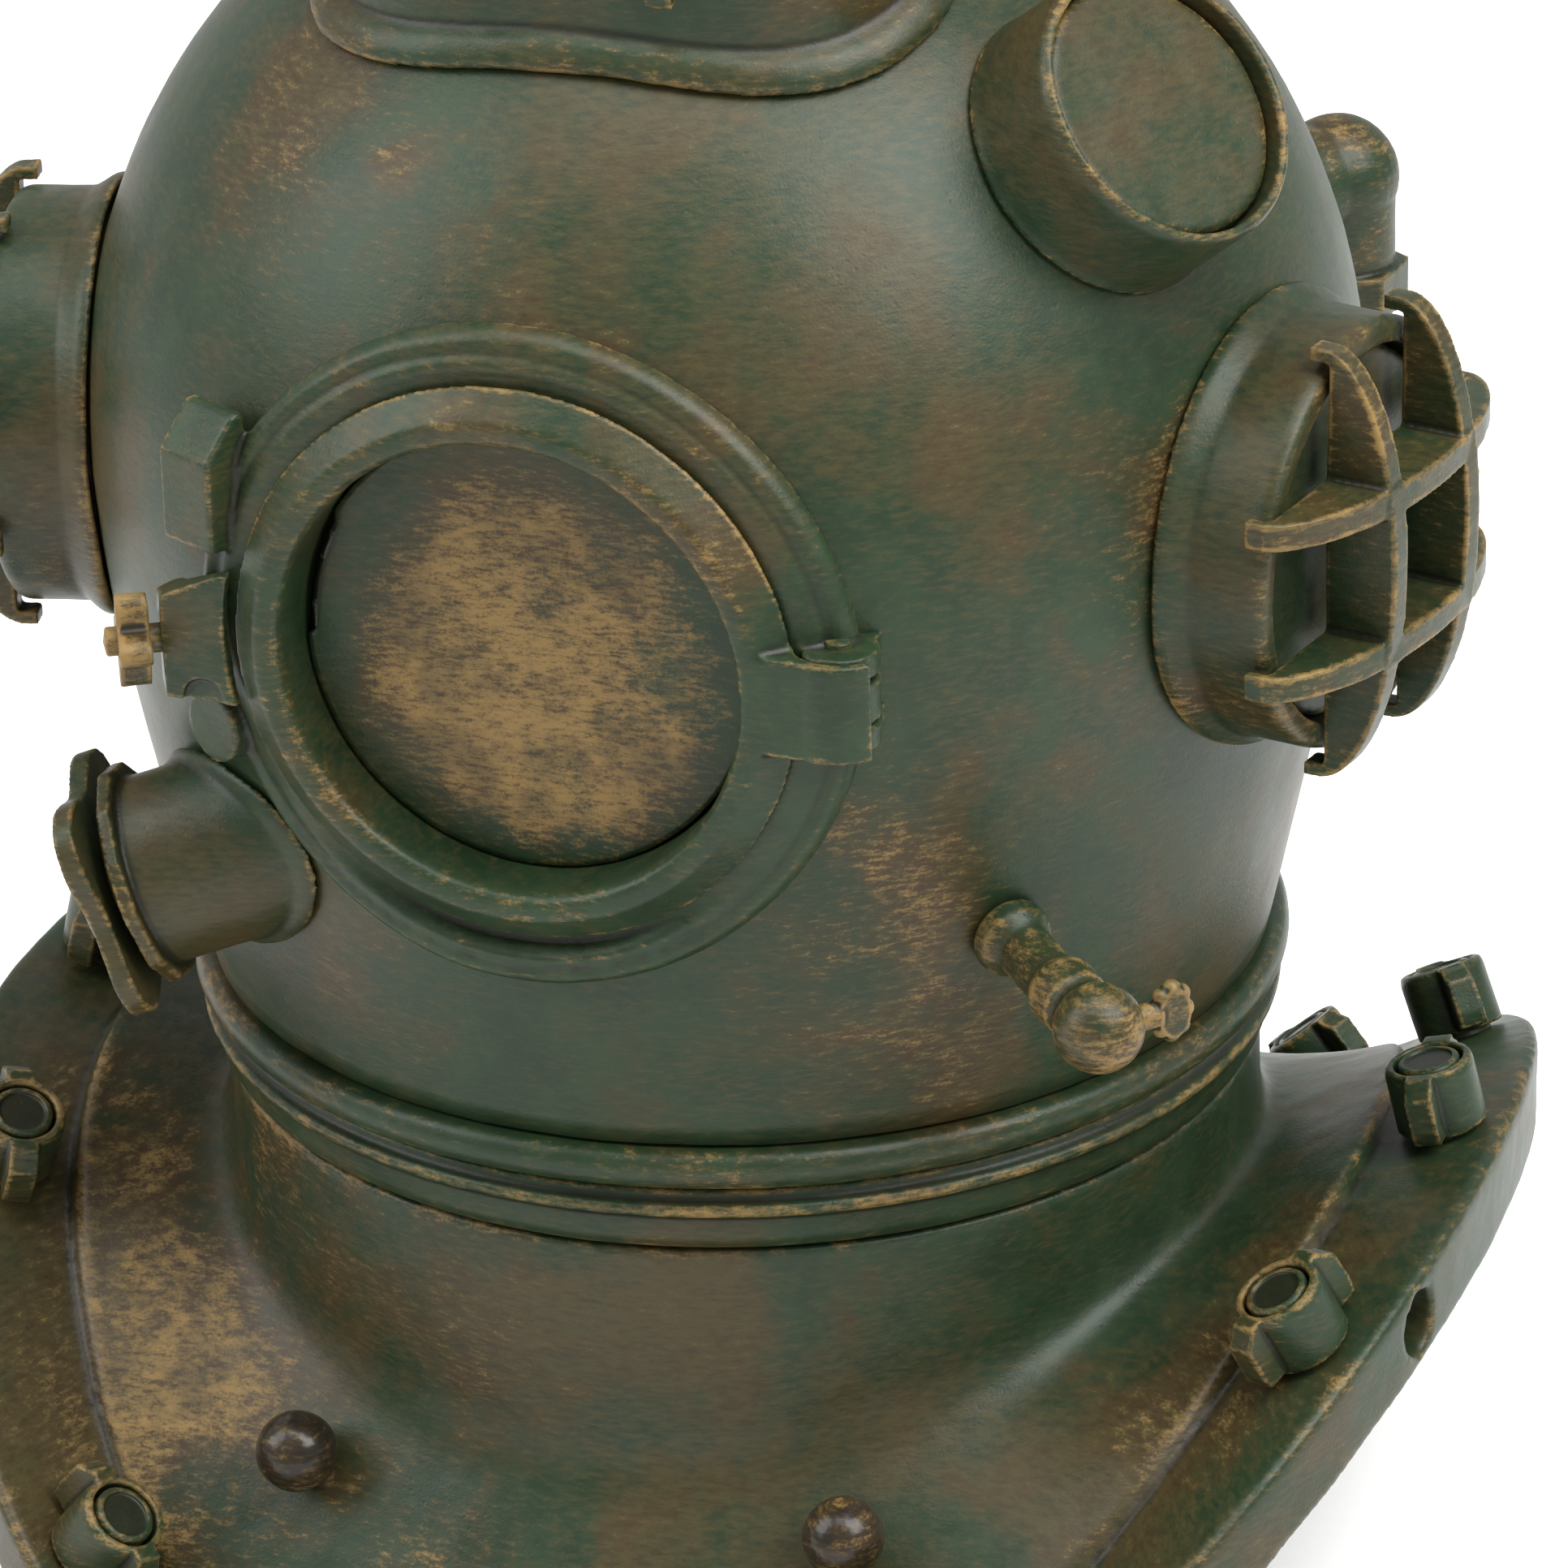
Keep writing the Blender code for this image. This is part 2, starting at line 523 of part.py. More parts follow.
def arc(radius, start, end, count):
    angles = [math.radians(start + (end - start) * k / (count - 1)) for k in range(count)]
    return [(radius * math.cos(a), radius * math.sin(a)) for a in angles]


root_x = FACE_RADIUS - 1.2 * MM - HINGE_OUT
root_front, root_back = -HINGE_BACK + 0.15 * MM, -HINGE_BACK + 2.05 * MM
leaf = [(root_x, root_front), *arc(reach + LEAF_THICK, 250, 320, 8), *arc(2.2 * MM, 320, 210, 8),
        (root_x, root_back)]
combine(ring, prism("leaf", leaf, -KNUCKLE_HALF, KNUCKLE_HALF, None, hinge, helper=True), "UNION")
combine(ring, prism("ring_relief", circle(20, reach), -KNUCKLE_HALF - 2 * MM, KNUCKLE_HALF + 2 * MM, None,
                    hinge, helper=True), "DIFFERENCE")
bridge = [(root_x + 0.4 * MM, root_front + 0.3 * MM), *arc(reach + LEAF_THICK - 0.3 * MM, 253, 300, 6),
          *arc(1.7 * MM, 300, 215, 5), (root_x + 0.4 * MM, root_back - 0.3 * MM)]
inset = third - 0.1 * MM
combine(ring, prism("leaf_bridge", bridge, -inset, inset, None, hinge, helper=True), "UNION")
combine(ring, prism("middle_knuckle", knuckle, -third, third, None, hinge, helper=True), "UNION")
combine(ring, pin_hole, "DIFFERENCE")

edge = FACE_BORE - GAP
disc_outline = []
for x, y in circle(48, edge):
    angle = math.degrees(math.atan2(y, x)) % 360
    inside = 148 <= angle <= 182
    disc_outline.append((x * (1 - SLIT_WIDTH / edge), y * (1 - SLIT_WIDTH / edge)) if inside else (x, y))
back = front - FACE_DEPTH - DISC_THICK
disc = prism("faceplate_disc", disc_outline, back, back + DISC_THICK, "worn", FRONT)

# ---------------------------------------------------------------- latch
# The block and the ear are cast on the barrel, outside the swing of the faceplate
swept = turned("faceplate_room", [(0, 0), (flare + 0.5 * MM, 0), (flare + 0.5 * MM, 40 * MM), (0, 40 * MM)],
               None, FRONT @ Matrix.Translation((0, 0, front - 20 * MM)), 40, closed=False, helper=True)
block_where = frame(-28.0, 0, TOP)
face = seat(block_where, 0, 7.5 * MM) + 3.6 * MM
loops = []
for x in (-3.0 * MM, 2.6 * MM):
    section = [(face, 4.2), (face, 11.3), (face - 2.8 * MM, 14.4)]
    base = seat(block_where, x, 9 * MM, 2 * GAP)
    loops.append([(x, 4.2 * MM, base)] + [(x, level * MM, out) for out, level in section]
                 + [(x, 14.4 * MM, base)])
block = make("latch_block", skin(bmesh.new(), loops), None, block_where, helper=True)
ear_where = frame(-29.0, 0, TOP)
ear = [(x, y - 11.0 * MM) for x, y in circle(18, 2.9 * MM)]
face = seat(ear_where, 0, -11.0 * MM) + 2.6 * MM
loops = seated([], ear_where, ear, 2 * GAP)
loops.append([(x, y, face) for x, y in ear])
ear = make("latch_ear", skin(bmesh.new(), loops), None, ear_where, helper=True)
for extra in (block, ear):
    combine(extra, swept, "DIFFERENCE")
    combine(barrel, extra, "UNION")

# The lug, its stud and its nut travel with the faceplate
latch = frame(-62.0, 0, Vector((-28.0 * MM, -46.9 * MM, CENTRE - 3.4 * MM)))
plan = [(-18.6, 48.4), (-23.0, 48.4), (-27.2, 48.3), (-28.7, 45.5), (-27.4, 44.6), (-26.6, 45.0),
        (-25.8, 45.9), (-23.9, 46.5), (-21.9, 47.45), (-18.6, 47.6)]
loops = []
for top in (False, True):
    loop = []
    for x, y in plan:
        z = (3.4 - max(-x - 21.0, 0) * 0.45) if top else -7.6
        loop.append((x * MM, -y * MM - (front - 49.4 * MM), CENTRE + z * MM))
    loops.append(loop)
lug = make("latch_lug", skin(bmesh.new(), loops), "patina")
lug_relief = prism("lug_relief", circle(40, flare + GAP), front - 15 * MM, front + 15 * MM, None, FRONT,
                   helper=True)
combine(lug, lug_relief, "DIFFERENCE")
combine(lug, prism("lug_bore", circle(12, 1.1 * MM + GAP), -1.9 * MM, 6 * MM, None, latch, helper=True),
        "DIFFERENCE")
turned("latch_stud", [(0, -1.6 * MM), (1.1 * MM, -1.6 * MM), (1.1 * MM, 4.0 * MM), (0, 4.3 * MM)],
       "dark", latch, 12, closed=False)
lobes = []
for k in range(32):
    a = 2 * math.pi * k / 32
    radius = (2.75 + 0.95 * math.cos(4 * a)) * MM
    lobes.append((radius * math.cos(a), radius * math.sin(a)))
latch_nut = prism("latch_wing_nut", lobes, 0.7 * MM, 3.2 * MM, "worn", latch)
combine(latch_nut, prism("latch_nut_bore", circle(12, 1.1 * MM + GAP), -1 * MM, 6 * MM, None, latch,
                         helper=True), "DIFFERENCE")

swing = bpy.data.objects.new("faceplate_swing", None)
swing.location = HINGE
bpy.context.scene.collection.objects.link(swing)
bpy.context.view_layer.update()
for name in ("faceplate_ring", "faceplate_disc", "latch_lug", "latch_stud", "latch_wing_nut"):
    piece = bpy.data.objects[name]
    piece.parent = swing
    piece.matrix_parent_inverse = hinge.inverted()


# ---------------------------------------------------------------- guarded ports
def guard(name, where, reach_of, top, rise, offset):
    """Two bars each way. They arch over the port's rim and hook down outside it."""
    bars = []
    for across in (False, True):
        for sign in (-1, 1):
            near = offset - GUARD_BAR / 2
            inner = reach_of(near, across) + GAP
            end = inner + 1.1 * MM
            shape = [(-inner, top - 1.3 * MM), (-inner, top + GAP), (inner, top + GAP),
                     (inner, top - 1.3 * MM), (end, top - 1.3 * MM)]
            for k in range(1, 12):
                a = math.pi * k / 12
                shape.append((end * math.cos(a), top + (rise + 0.6 * MM) * math.sin(a) - 0.3 * MM))
            shape.append((-end, top - 1.3 * MM))
            loops = []
            for side in (-GUARD_BAR / 2, GUARD_BAR / 2):
                off = sign * offset + side
                loops.append([(off, u, h) if across else (u, off, h) for u, h in shape])
            solid = make(name if not bars else f"{name}_bar_{len(bars)}", skin(bmesh.new(), loops),
                         "worn", where, helper=bool(bars))
            bars.append(solid)
    for bar in bars[1:]:
        combine(bars[0], bar, "UNION")


def round_reach(off, across):
    return math.sqrt(SIDE_RADIUS**2 - off**2)


face = BONNET_RADIUS + SIDE_STAND
for side, where in (("right", RIGHT), ("left", LEFT)):
    r, opening = SIDE_RADIUS, SIDE_RADIUS - SIDE_RIM
    loops = [[(x, y, BONNET_RADIUS - 8 * MM) for x, y in circle(32, SIDE_SPIGOT)]]
    seated(loops, where, circle(32, SIDE_SPIGOT))
    seated(loops, where, circle(32, r + 1.1 * MM))
    loops.append([(x, y, seat(where, x, y) + 0.8 * MM) for x, y in circle(32, r + 1.1 * MM)])
    loops.append([(x, y, seat(where, x, y) + 1.6 * MM) for x, y in circle(32, r + 0.5 * MM)])
    for radius, height in ((r, BONNET_RADIUS - 0.2 * MM), (r, face - 0.8 * MM), (r - 0.5 * MM, face),
                           (opening, face), (opening, face - 3.6 * MM),
                           (opening - 1.2 * MM, face - 3.6 * MM),
                           (opening - 1.2 * MM, BONNET_RADIUS - 8 * MM)):
        loops.append([(x, y, height) for x, y in circle(32, radius)])
    make(f"{side}_port_frame", skin(bmesh.new(), loops, closed=True), "patina", where)
    turned(f"{side}_port_window", [(0, face - 3.3 * MM), (opening - GAP, face - 3.3 * MM),
                                   (opening - GAP, face - 1.3 * MM), (0, face - 1.3 * MM)],
           "patina", where, 32, closed=False)
    guard(f"{side}_port_guard", where, round_reach, face, GUARD_RISE, GUARD_OFFSET)

crown_top = BONNET_RADIUS + TOP_STAND
loops = []


def crown(grow):
    return squircle(32, TOP_HALF_X + grow, TOP_HALF_Y + grow, 3)


loops = [[(x, y, BONNET_RADIUS - 12 * MM) for x, y in crown(-1.4 * MM)]]
seated(loops, CROWN, crown(-1.4 * MM))
seated(loops, CROWN, crown(TOP_LIP))
for grow, above in ((TOP_LIP, 1.0 * MM), (TOP_LIP - 0.9 * MM, 1.7 * MM), (0.4 * MM, 1.5 * MM)):
    loops.append([(x, y, seat(CROWN, x, y) + above) for x, y in crown(grow)])
for grow, height in ((0, crown_top - 0.7 * MM), (-0.6 * MM, crown_top), (-2.4 * MM, crown_top),
                     (-2.4 * MM, crown_top - 3.0 * MM), (-3.8 * MM, crown_top - 3.0 * MM),
                     (-3.8 * MM, BONNET_RADIUS - 12 * MM)):
    loops.append([(x, y, height) for x, y in crown(grow)])
make("top_port_frame", skin(bmesh.new(), loops, closed=True), "patina", CROWN)
prism("top_port_window", crown(-2.4 * MM - GAP), crown_top - 2.7 * MM, crown_top - 0.9 * MM, "patina", CROWN)


def crown_reach(off, across):
    half, other = (TOP_HALF_Y, TOP_HALF_X) if across else (TOP_HALF_X, TOP_HALF_Y)
    return half * (1 - (off / other) ** 3) ** (1 / 3)


guard("top_port_guard", CROWN, crown_reach, crown_top, 4.2 * MM, 7.6 * MM)

# ---------------------------------------------------------------- speaker cup
cup_top = BONNET_RADIUS + CUP_STAND
loops = [[(x, y, BONNET_RADIUS - 6 * MM) for x, y in circle(32, CUP_SPIGOT)]]
seated(loops, CUP, circle(32, CUP_SPIGOT))
seated(loops, CUP, circle(32, CUP_RADIUS))
for radius, height in ((CUP_RADIUS, cup_top - 0.6 * MM), (CUP_RADIUS - 0.4 * MM, cup_top),
                       (CUP_RADIUS - 0.9 * MM, cup_top - 0.3 * MM), (CUP_RADIUS - 0.9 * MM, cup_top - 3.1 * MM),
                       (CUP_SPIGOT - 1.4 * MM, cup_top - 3.1 * MM), (CUP_SPIGOT - 1.4 * MM, BONNET_RADIUS - 6 * MM)):
    loops.append([(x, y, height) for x, y in circle(32, radius)])
make("speaker_cup", skin(bmesh.new(), loops, closed=True), "patina", CUP)
plate = CUP_RADIUS - 0.9 * MM - GAP
turned("speaker_cover", [(0, cup_top - 2.8 * MM), (plate, cup_top - 2.8 * MM), (plate, cup_top - 1.2 * MM),
                         (0, cup_top - 1.2 * MM)], "patina", CUP, 32, closed=False)

# ---------------------------------------------------------------- exhaust valve
valve_foot = -11.5 * MM
loops = [[(x, y, valve_foot) for x, y in circle(24, VALVE_SPIGOT)]]
seated(loops, VALVE, circle(24, VALVE_SPIGOT))
seated(loops, VALVE, circle(24, VALVE_RADIUS))
end = VALVE_LENGTH - 3.2 * MM
for radius, height in ((VALVE_RADIUS, end - 0.5 * MM), (VALVE_RADIUS - 0.5 * MM, end), (2.6 * MM, end),
                       (2.6 * MM, valve_foot)):
    loops.append([(x, y, height) for x, y in circle(24, radius)])
valve = make("exhaust_valve_body", skin(bmesh.new(), loops, closed=True), "patina", VALVE)
collar = prism("valve_collar", circle(12, VALVE_RADIUS + 1.3 * MM), end - 1.8 * MM, end - 0.6 * MM, None,
               VALVE, helper=True)
combine(valve, collar, "UNION")
combine(valve, prism("valve_bore", circle(16, 2.3 * MM), valve_foot - 2 * MM, end + 2 * MM, None, VALVE,
                     helper=True), "DIFFERENCE")
petals = []
for k in range(48):
    a = 2 * math.pi * (k + 0.5) / 48
    radius = WHEEL_RADIUS + 1.5 * MM * math.cos(4 * (a - math.radians(45)))
    petals.append((radius * math.cos(a), radius * math.sin(a)))
wheel = prism("exhaust_handwheel", petals, VALVE_LENGTH - 2.7 * MM, VALVE_LENGTH - 0.95 * MM, "worn", VALVE)
boss = turned("wheel_boss", [(0, VALVE_LENGTH - 1.5 * MM), (6.5 * MM, VALVE_LENGTH - 1.5 * MM),
                             (6.3 * MM, VALVE_LENGTH - 0.2 * MM), (5.8 * MM, VALVE_LENGTH), (0, VALVE_LENGTH)],
              None, VALVE, 24, closed=False, helper=True)
stem = turned("wheel_stem", [(0, valve_foot + 3 * MM), (2.0 * MM, valve_foot + 3 * MM),
                             (2.0 * MM, VALVE_LENGTH - 1.8 * MM), (0, VALVE_LENGTH - 1.8 * MM)], None, VALVE,
              16, closed=False, helper=True)
combine(wheel, boss, "UNION")
combine(wheel, stem, "UNION")

# ---------------------------------------------------------------- spitcock
loops = [[(x, y, -5 * MM) for x, y in circle(16, COCK_SPIGOT)]]
seated(loops, COCK, circle(16, COCK_SPIGOT))
seated(loops, COCK, circle(16, COCK_RADIUS + 0.9 * MM))
for radius, height in ((COCK_RADIUS + 0.9 * MM, 1.6 * MM), (COCK_RADIUS, 2.2 * MM), (COCK_RADIUS, 8.4 * MM),
                       (COCK_RADIUS + 0.5 * MM, 9.0 * MM)):
    loops.append([(x, y, height) for x, y in circle(16, radius)])
for k in range(6):
    a = math.radians(-40 + 130 * k / 5)
    if k == 5:
        loops.append([(0, 0, COCK_LENGTH + COCK_BALL)])
    else:
        loops.append([(x, y, COCK_LENGTH + COCK_BALL * math.sin(a)) for x, y in
                      circle(16, COCK_BALL * math.cos(a))])
cock = make("spitcock_body", skin(bmesh.new(), loops, closed=False), "worn", COCK)
key_where = COCK @ Matrix.Translation((0, 0, COCK_LENGTH)) @ Matrix.Rotation(math.radians(90), 4, "Y")
combine(cock, prism("key_bore", circle(12, 1.0 * MM + GAP), 1.2 * MM, 6 * MM, None, key_where, helper=True),
        "DIFFERENCE")
key = turned("spitcock_key", [(0, 1.6 * MM), (1.0 * MM, 1.6 * MM), (1.0 * MM, 5.0 * MM), (0, 5.0 * MM)],
             "worn", key_where, 12, closed=False)
grip = [(4.6 * MM + 1.7 * MM * (1 + math.cos(2 * math.pi * k / 12)) / 2 * 1.6,
         2.0 * MM * math.sin(2 * math.pi * k / 12)) for k in range(12)]
loops = [[(side, y, x) for x, y in grip] for side in (-0.8 * MM, 0.8 * MM)]
combine(key, make("key_grip", skin(bmesh.new(), loops), None, key_where, helper=True), "UNION")

# ---------------------------------------------------------------- elbows
for side, where in ELBOWS.items():
    loops = [[(x, y, -5 * MM) for x, y in circle(16, ELBOW_SPIGOT)]]
    seated(loops, where, circle(16, ELBOW_SPIGOT))
    seated(loops, where, circle(16, ELBOW_RADIUS + 1.0 * MM))
    for radius, height in ((ELBOW_RADIUS + 1.0 * MM, 1.2 * MM), (ELBOW_RADIUS - 0.6 * MM, 1.8 * MM),
                           (ELBOW_RADIUS - 0.6 * MM, ELBOW_OUT - 2 * MM)):
        loops.append([(x, y, height) for x, y in circle(16, radius)])
    for k in range(6):
        a = math.radians(-20 + 110 * k / 5)
        if k == 5:
            loops.append([(0, 0, ELBOW_OUT + ELBOW_RADIUS)])
        else:
            loops.append([(x, y, ELBOW_OUT + ELBOW_RADIUS * math.sin(a)) for x, y in
                          circle(16, ELBOW_RADIUS * math.cos(a))])
    elbow = make(f"{side}_elbow", skin(bmesh.new(), loops), "worn", where)
    down = where @ Matrix.Translation((0, 0, ELBOW_OUT)) @ Matrix.Rotation(math.radians(90), 4, "X")
    drop = [(0, 0), (ELBOW_RADIUS - 0.3 * MM, 0), (ELBOW_RADIUS - 0.3 * MM, 8 * MM), (0, 8 * MM)]
    combine(elbow, turned(f"{side}_drop", drop, None, down, 16, closed=False, helper=True), "UNION")
    nut = prism(f"{side}_hex", circle(6, ELBOW_RADIUS + 1.0 * MM), 7.4 * MM, 11.4 * MM, None, down, helper=True)
    combine(elbow, nut, "UNION")
    if side == "air":
        barb = [(0, 11 * MM), (HOSE_BARB - 0.4 * MM, 11 * MM), (HOSE_BARB - 0.4 * MM, 13 * MM)]
        for k in range(3):
            barb += [(HOSE_BARB, (13 + 2 * k) * MM), (HOSE_BARB - 0.4 * MM, (15 + 2 * k) * MM)]
        barb.append((0, 19 * MM))
        combine(elbow, turned("air_barb", barb, None, down, 16, closed=False, helper=True), "UNION")
        bore = prism("air_bore_down", circle(10, HOSE_BORE), -0.5 * MM, 22 * MM, None, down, helper=True)
        run = prism("air_bore_in", circle(10, HOSE_BORE), -9 * MM, ELBOW_OUT + 0.5 * MM, None, where, helper=True)
        combine(elbow, bore, "DIFFERENCE")
        combine(elbow, run, "DIFFERENCE")
    else:
        gland = [(0, 11 * MM), (3.4 * MM, 11 * MM), (2.8 * MM, 14 * MM), (0, 14 * MM)]
        combine(elbow, turned("phone_gland", gland, None, down, 16, closed=False, helper=True), "UNION")


# ---------------------------------------------------------------- air line and stone inside
def pipe(name, path, radius, bore, material, count=8):
    """A tube along a path of points."""
    loops_out, loops_in = [], []
    side = Vector((0, 0, 1)).cross(path[1] - path[0]).normalized()
    for k, point in enumerate(path):
        before, after = path[max(k - 1, 0)], path[min(k + 1, len(path) - 1)]
        along = (after - before).normalized()
        side = (side - side.project(along)).normalized()
        other = along.cross(side)
        for loops, r in ((loops_out, radius), (loops_in, bore)):
            loops.append([point + side * x + other * y for x, y in circle(count, r)])
    return make(name, skin(bmesh.new(), loops_out + loops_in[::-1], closed=True), material)


air = ELBOWS["air"]
start = air @ Vector((0, 0, -5 * MM - GAP))
ray = Vector((start.x, start.y, 0)).normalized()
stone_top = 32 * MM
levels = [(Vector((start.x, start.y, 0)).length, start.z - CENTRE), (RISER_OUT + 6 * MM, ELBOW_LEVEL),
          (RISER_OUT + 2 * MM, ELBOW_LEVEL - 1.5 * MM), (RISER_OUT, ELBOW_LEVEL - 6 * MM),
          (RISER_OUT, stone_top + 19 * MM - CENTRE), (RISER_OUT - 3 * MM, stone_top + 13 * MM - CENTRE),
          (RISER_OUT - 9 * MM, stone_top + 9 * MM - CENTRE), (7 * MM, stone_top + 8 * MM - CENTRE),
          (2 * MM, stone_top + 6.5 * MM - CENTRE), (0, stone_top + 3 * MM - CENTRE),
          (0, stone_top + GAP - CENTRE)]
path = [ray * out + Vector((0, 0, CENTRE + level)) for out, level in levels]
pipe("riser_tube", path, RISER_RADIUS, HOSE_BORE, "tube")
low = stone_top - STONE_HEIGHT
turned("air_stone", [(0, low), (STONE_RADIUS - 1 * MM, low), (STONE_RADIUS, low + 1 * MM),
                     (STONE_RADIUS, stone_top - 1 * MM), (STONE_RADIUS - 1 * MM, stone_top), (0, stone_top)],
       "stone", None, 20, closed=False)
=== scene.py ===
"""Looks of the bubbling helmet ornament: cast resin with a satin green patina and dry-brushed gold."""

import json
import math

import bmesh
import bpy
import numpy as np
from mathutils import Matrix, Vector, noise


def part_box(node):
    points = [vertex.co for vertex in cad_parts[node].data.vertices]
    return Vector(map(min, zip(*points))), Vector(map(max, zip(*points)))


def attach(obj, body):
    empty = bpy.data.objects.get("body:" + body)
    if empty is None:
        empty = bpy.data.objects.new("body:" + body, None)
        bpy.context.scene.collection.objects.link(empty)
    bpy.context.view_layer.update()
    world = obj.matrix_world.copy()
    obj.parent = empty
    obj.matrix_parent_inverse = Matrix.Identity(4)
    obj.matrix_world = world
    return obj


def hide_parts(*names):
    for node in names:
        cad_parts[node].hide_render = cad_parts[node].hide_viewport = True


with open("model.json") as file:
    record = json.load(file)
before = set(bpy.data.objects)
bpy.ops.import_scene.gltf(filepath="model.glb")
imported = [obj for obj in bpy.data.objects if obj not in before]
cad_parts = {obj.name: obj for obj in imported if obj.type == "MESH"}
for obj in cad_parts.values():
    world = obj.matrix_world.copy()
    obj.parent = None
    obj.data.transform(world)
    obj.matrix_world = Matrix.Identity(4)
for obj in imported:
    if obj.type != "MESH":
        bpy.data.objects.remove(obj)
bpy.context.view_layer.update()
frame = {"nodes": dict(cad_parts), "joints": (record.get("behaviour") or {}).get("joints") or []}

MM = 0.001
GAP = 0.3 * MM

# ---------------------------------------------------------------- sizes, from the frame
joints = {joint["name"]: joint for joint in frame["joints"]}


def middle(node):
    low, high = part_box(node)
    return (low + high) / 2


CENTRE = middle("right_port_frame").z
TOP = Vector((0, 0, CENTRE))
BONNET_RADIUS = 50.0 * MM
NECK_RADIUS = 42.9 * MM
NECK_DROP = 42.9 * MM
WALL = 3.0 * MM
RING_TOP = -NECK_DROP - GAP
LOWER_TOP = RING_TOP - 3.3 * MM - GAP
RING_BOTTOM = LOWER_TOP - 5.4 * MM
SHELL_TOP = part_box("corselet_shell")[1].z
FACE_FRONT = 49.4 * MM
FACE_LEVEL = -2.2 * MM
FACE_RADIUS, FACE_BORE = 20.1 * MM, 17.6 * MM
FACE_SPIGOT = FACE_RADIUS + 2.1 * MM
CROWN_HALF_X, CROWN_HALF_Y, CROWN_FACE = 22.5 * MM, 20.5 * MM, 51.4 * MM
SLOT_AZIMUTH, SLOT_HALF_WIDTH, SLOT_HALF_HEIGHT = 75, 2.3 * MM, 2.8 * MM
BALL_RADIUS, BALL_SHANK = 3.2 * MM, 1.25 * MM
COCK_DIP, COCK_LENGTH = math.radians(-6.5), 14.4 * MM
ELBOW_AZIMUTH, ELBOW_LEVEL, ELBOW_OUT = 143, 5 * MM, 11.5 * MM


# ---------------------------------------------------------------- geometry
def aimed(azimuth, elevation, origin):
    """Local +Z points out at the azimuth (from -Y towards +X) and elevation; +X is level."""
    a, e = math.radians(azimuth), math.radians(elevation)
    out = Vector((math.sin(a) * math.cos(e), -math.cos(a) * math.cos(e), math.sin(e)))
    return framed(out, Vector((math.cos(a), math.sin(a), 0)), origin)


def framed(out, level, origin):
    level = (level - level.project(out)).normalized()
    up = out.cross(level)
    return Matrix([[level[i], up[i], out[i], origin[i]] for i in range(3)] + [[0, 0, 0, 1]])


def joint_frame(name):
    joint = joints[name]
    out = Vector(joint["axis"]).normalized()
    level = Vector((-out.y, out.x, 0)) if abs(out.z) < 0.99 else Vector((1, 0, 0))
    return framed(out, level, Vector(joint["pos_m"]))


def ring_of(count, radius):
    return [(radius * math.cos(2 * math.pi * k / count),
             radius * math.sin(2 * math.pi * k / count)) for k in range(count)]


def squircle(count, half_x, half_y, power):
    points = []
    for k in range(count):
        a = 2 * math.pi * (k + 0.5) / count
        c, s = math.cos(a), math.sin(a)
        points.append((half_x * math.copysign(abs(c) ** (2 / power), c),
                       half_y * math.copysign(abs(s) ** (2 / power), s)))
    return points


def rounded(points, radii, steps=4, closed=True):
    """The polyline with each corner turned into a curve that starts its radius away."""
    out = []
    count = len(points)
    for k, corner in enumerate(points):
        radius = radii[k] if isinstance(radii, (list, tuple)) else radii
        if radius <= 0 or (not closed and k in (0, count - 1)):
            out.append(corner)
            continue
        before, after = points[k - 1] - corner, points[(k + 1) % count] - corner
        start = corner + before * min(radius / max(before.length, 1e-9), 0.46)
        end = corner + after * min(radius / max(after.length, 1e-9), 0.46)
        for step in range(steps + 1):
            t = step / steps
            out.append(start * (1 - t) ** 2 + corner * 2 * t * (1 - t) + end * t * t)
    return out


def skin(bm, loops, closed=False):
    rings = [[bm.verts.new(p) for p in loop] for loop in loops]
    pairs = list(zip(rings, rings[1:] + rings[:1])) if closed else list(zip(rings, rings[1:]))
    for first, second in pairs:
        count = max(len(first), len(second))
        for k in range(count):
            corners = [first[k % len(first)], first[(k + 1) % len(first)],
                       second[(k + 1) % len(second)], second[k % len(second)]]
            bm.faces.new(list(dict.fromkeys(corners)))
    if not closed:
        for ring in (rings[0], rings[-1]):
            if len(ring) > 2:
                bm.faces.new(ring)
    return bm


def mesh_of(name, bm):
    bmesh.ops.remove_doubles(bm, verts=bm.verts, dist=1e-7)
    bmesh.ops.recalc_face_normals(bm, faces=bm.faces)
    mesh = bpy.data.meshes.new(name)
    bm.to_mesh(mesh)
    bm.free()
    return mesh


def solid(loops, where=None, closed=False):
    """One closed body as a bmesh in the row frame."""
    where = where or Matrix()
    bm = skin(bmesh.new(), [[where @ Vector(p) for p in loop] for loop in loops], closed)
    bmesh.ops.remove_doubles(bm, verts=bm.verts, dist=1e-7)
    bmesh.ops.recalc_face_normals(bm, faces=bm.faces)
    return bm


def turned(profile, where=None, count=64, round_by=0.0, closed=False):
    """A turned body: the profile is (radius, height); an open one starts and ends on the axis."""
    points = [Vector((radius, 0, height)) for radius, height in profile]
    points = rounded(points, round_by, 3, closed) if round_by else points
    loops = []
    for point in points:
        if point.x < 1e-7:
            loops.append([(0, 0, point.z)])
        else:
            loops.append([(x, y, point.z) for x, y in ring_of(count, point.x)])
    return solid(loops, where, closed)


def prism(outline, low, high, where=None):
    return solid([[(x, y, height) for x, y in outline] for height in (low, high)], where)


def ball(radius, where, count=32):
    profile = [(0, -radius)]
    for k in range(1, 16):
        a = math.radians(-90 + 180 * k / 16)
        profile.append((radius * math.cos(a), radius * math.sin(a)))
    return turned(profile + [(0, radius)], where, count)


